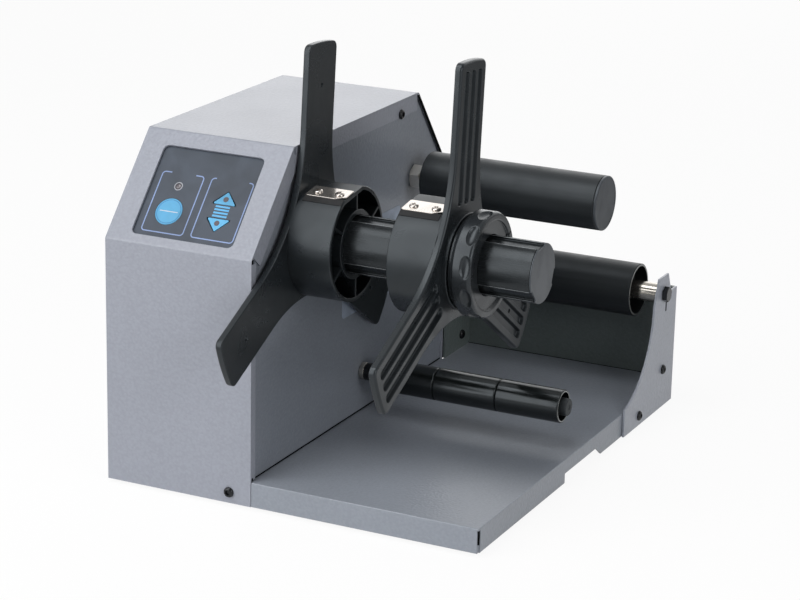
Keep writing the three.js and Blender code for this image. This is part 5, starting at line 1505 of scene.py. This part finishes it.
def buildSeamShade():
    corner = seamShadeEdge["corner"]
    strips = []
    for x0, x1, y0, y1, z0, z1 in seamShadeStrips:
        strips.append(softSlab(rectangle(x0, x1, y0, y1, corner, 2), z0, z1, seamShadeEdge["rim"], alongZ))
    top = Vector(slopeSeamShade["top"])
    foot = Vector(slopeSeamShade["foot"])
    along = (foot - top).normalized()
    inward = Vector((along.y, -along.x))
    top += along * slopeSeamShade["short"]
    foot -= along * slopeSeamShade["short"]
    near, far = slopeSeamShade["inset"]
    band = [top + inward * near, top + inward * far, foot + inward * far, foot + inward * near]
    outline = rounded([(*point, corner) for point in band], 2)
    strips.append(softSlab(outline, *slopeSeamShade["x"], seamShadeEdge["rim"]))
    seamShade = makeFinish("seam_shade", seamShadeLook)
    addPiece("seam_shade_strips", joined(*strips), "frame", "foot_rubber", (), seamShade)


buildPalePatch()
buildInletPins()
buildSeamShade()
print("label plate, pins and seam strips made")


# floor, world and lamps: lamp places and sizes in housing millimetres, the floor in metres

light = {
    "ambient": 0.16, "glossDark": 0.15, "glossBright": 0.8, "glossRange": (-0.4, 0.75),
    "glossLean": -0.35, "floorSize": 12, "floorGap": 0.0002, "floorForLight": 0.8,
    "floorForCamera": 1.0, "floorShow": 0.92,
    "floorNear": 0.75, "floorFar": 0.25, "floorFade": (0.46, 0.76), "aim": (20, 150, 100),
}
lamps = {
    "key": {"spot": (-1050, -1350, 820), "size": 2000, "power": 25},
    "top": {"spot": (-250, -500, 1800), "size": 1300, "power": 14},
    "back": {"spot": (-500, 2300, 900), "size": 2200, "power": 12},
    "fill": {"spot": (1700, -600, 800), "size": 1200, "power": 10},
}


def seenDirectly(tree):
    # 1 for rays that see a surface straight, in a mirror or through glass, and 1 for the camera's own
    path = tree.nodes.new("ShaderNodeLightPath").outputs
    total = maths(tree, "ADD", path["Is Camera Ray"], path["Is Glossy Ray"])
    total = maths(tree, "ADD", total, path["Is Transmission Ray"])
    return maths(tree, "MINIMUM", total, 1.0), path["Is Camera Ray"]


def blend(tree, share, first, second):
    return addNode(tree, "ShaderNodeMix", {0: share, 2: first, 3: second}, data_type="FLOAT").outputs[0]


def buildWorld():
    world = bpy.data.worlds.new("studio")
    scene.world = world
    world.use_nodes = True
    tree = world.node_tree
    tree.nodes.clear()
    seen, camera = seenDirectly(tree)
    split = parted(tree, addNode(tree, "ShaderNodeTexCoord").outputs["Generated"])
    lean = maths(tree, "ADD", split[1], maths(tree, "MULTIPLY", split[0], light["glossLean"]))
    gloss = rescale(tree, lean, *light["glossRange"], light["glossDark"], light["glossBright"])
    strength = blend(tree, seen, light["ambient"], blend(tree, camera, gloss, 1.0))
    glow = addNode(tree, "ShaderNodeBackground", {"Color": (1, 1, 1, 1), "Strength": strength})
    out = tree.nodes.new("ShaderNodeOutputWorld")
    tree.links.new(glow.outputs[0], out.inputs[0])


def buildFloor():
    size = light["floorSize"]
    bottom = cadBounds[0].z - light["floorGap"]
    mesh = bpy.data.meshes.new("floor")
    corners = [(-size, -size, bottom), (size, -size, bottom), (size, size, bottom), (-size, size, bottom)]
    mesh.from_pydata(corners, [], [(0, 1, 2, 3)])
    material = bpy.data.materials.new("floor")
    material.use_nodes = True
    tree = material.node_tree
    tree.nodes.clear()
    seen, camera = seenDirectly(tree)
    shade = rescale(tree, camera, 0.0, 1.0, light["floorForLight"], light["floorForCamera"])
    grey = addNode(tree, "ShaderNodeCombineColor", {0: shade, 1: shade, 2: shade}).outputs[0]
    diffuse = addNode(tree, "ShaderNodeBsdfDiffuse", {"Color": grey})
    split = parted(tree, addNode(tree, "ShaderNodeTexCoord").outputs["Object"])
    fade = rescale(tree, split[1], *light["floorFade"], light["floorNear"], light["floorFar"])
    glow = addNode(tree, "ShaderNodeEmission", {
        "Color": (1, 1, 1, 1), "Strength": blend(tree, camera, fade, 1.0)})
    share = maths(tree, "SUBTRACT", seen, maths(tree, "MULTIPLY", camera, 1 - light["floorShow"]))
    mix = addNode(tree, "ShaderNodeMixShader", {0: share, 1: diffuse.outputs[0], 2: glow.outputs[0]})
    out = tree.nodes.new("ShaderNodeOutputMaterial")
    tree.links.new(mix.outputs[0], out.inputs[0])
    mesh.materials.append(material)
    newObject("floor", mesh)


def buildLamp(name, lamp):
    data = bpy.data.lights.new(name, "AREA")
    data.shape = "DISK"
    data.size = lamp["size"] * mm
    data.energy = lamp["power"]
    obj = newObject(name, data)
    spot = toRow @ Vector(lamp["spot"])
    aim = toRow @ Vector(light["aim"])
    obj.location = spot
    obj.rotation_euler = (aim - spot).to_track_quat("-Z", "Y").to_euler()
    obj.visible_camera = False


buildWorld()
buildFloor()
for name, lamp in lamps.items():
    buildLamp(name, lamp)
scene.view_settings.view_transform = "Standard"
print("light and floor made")
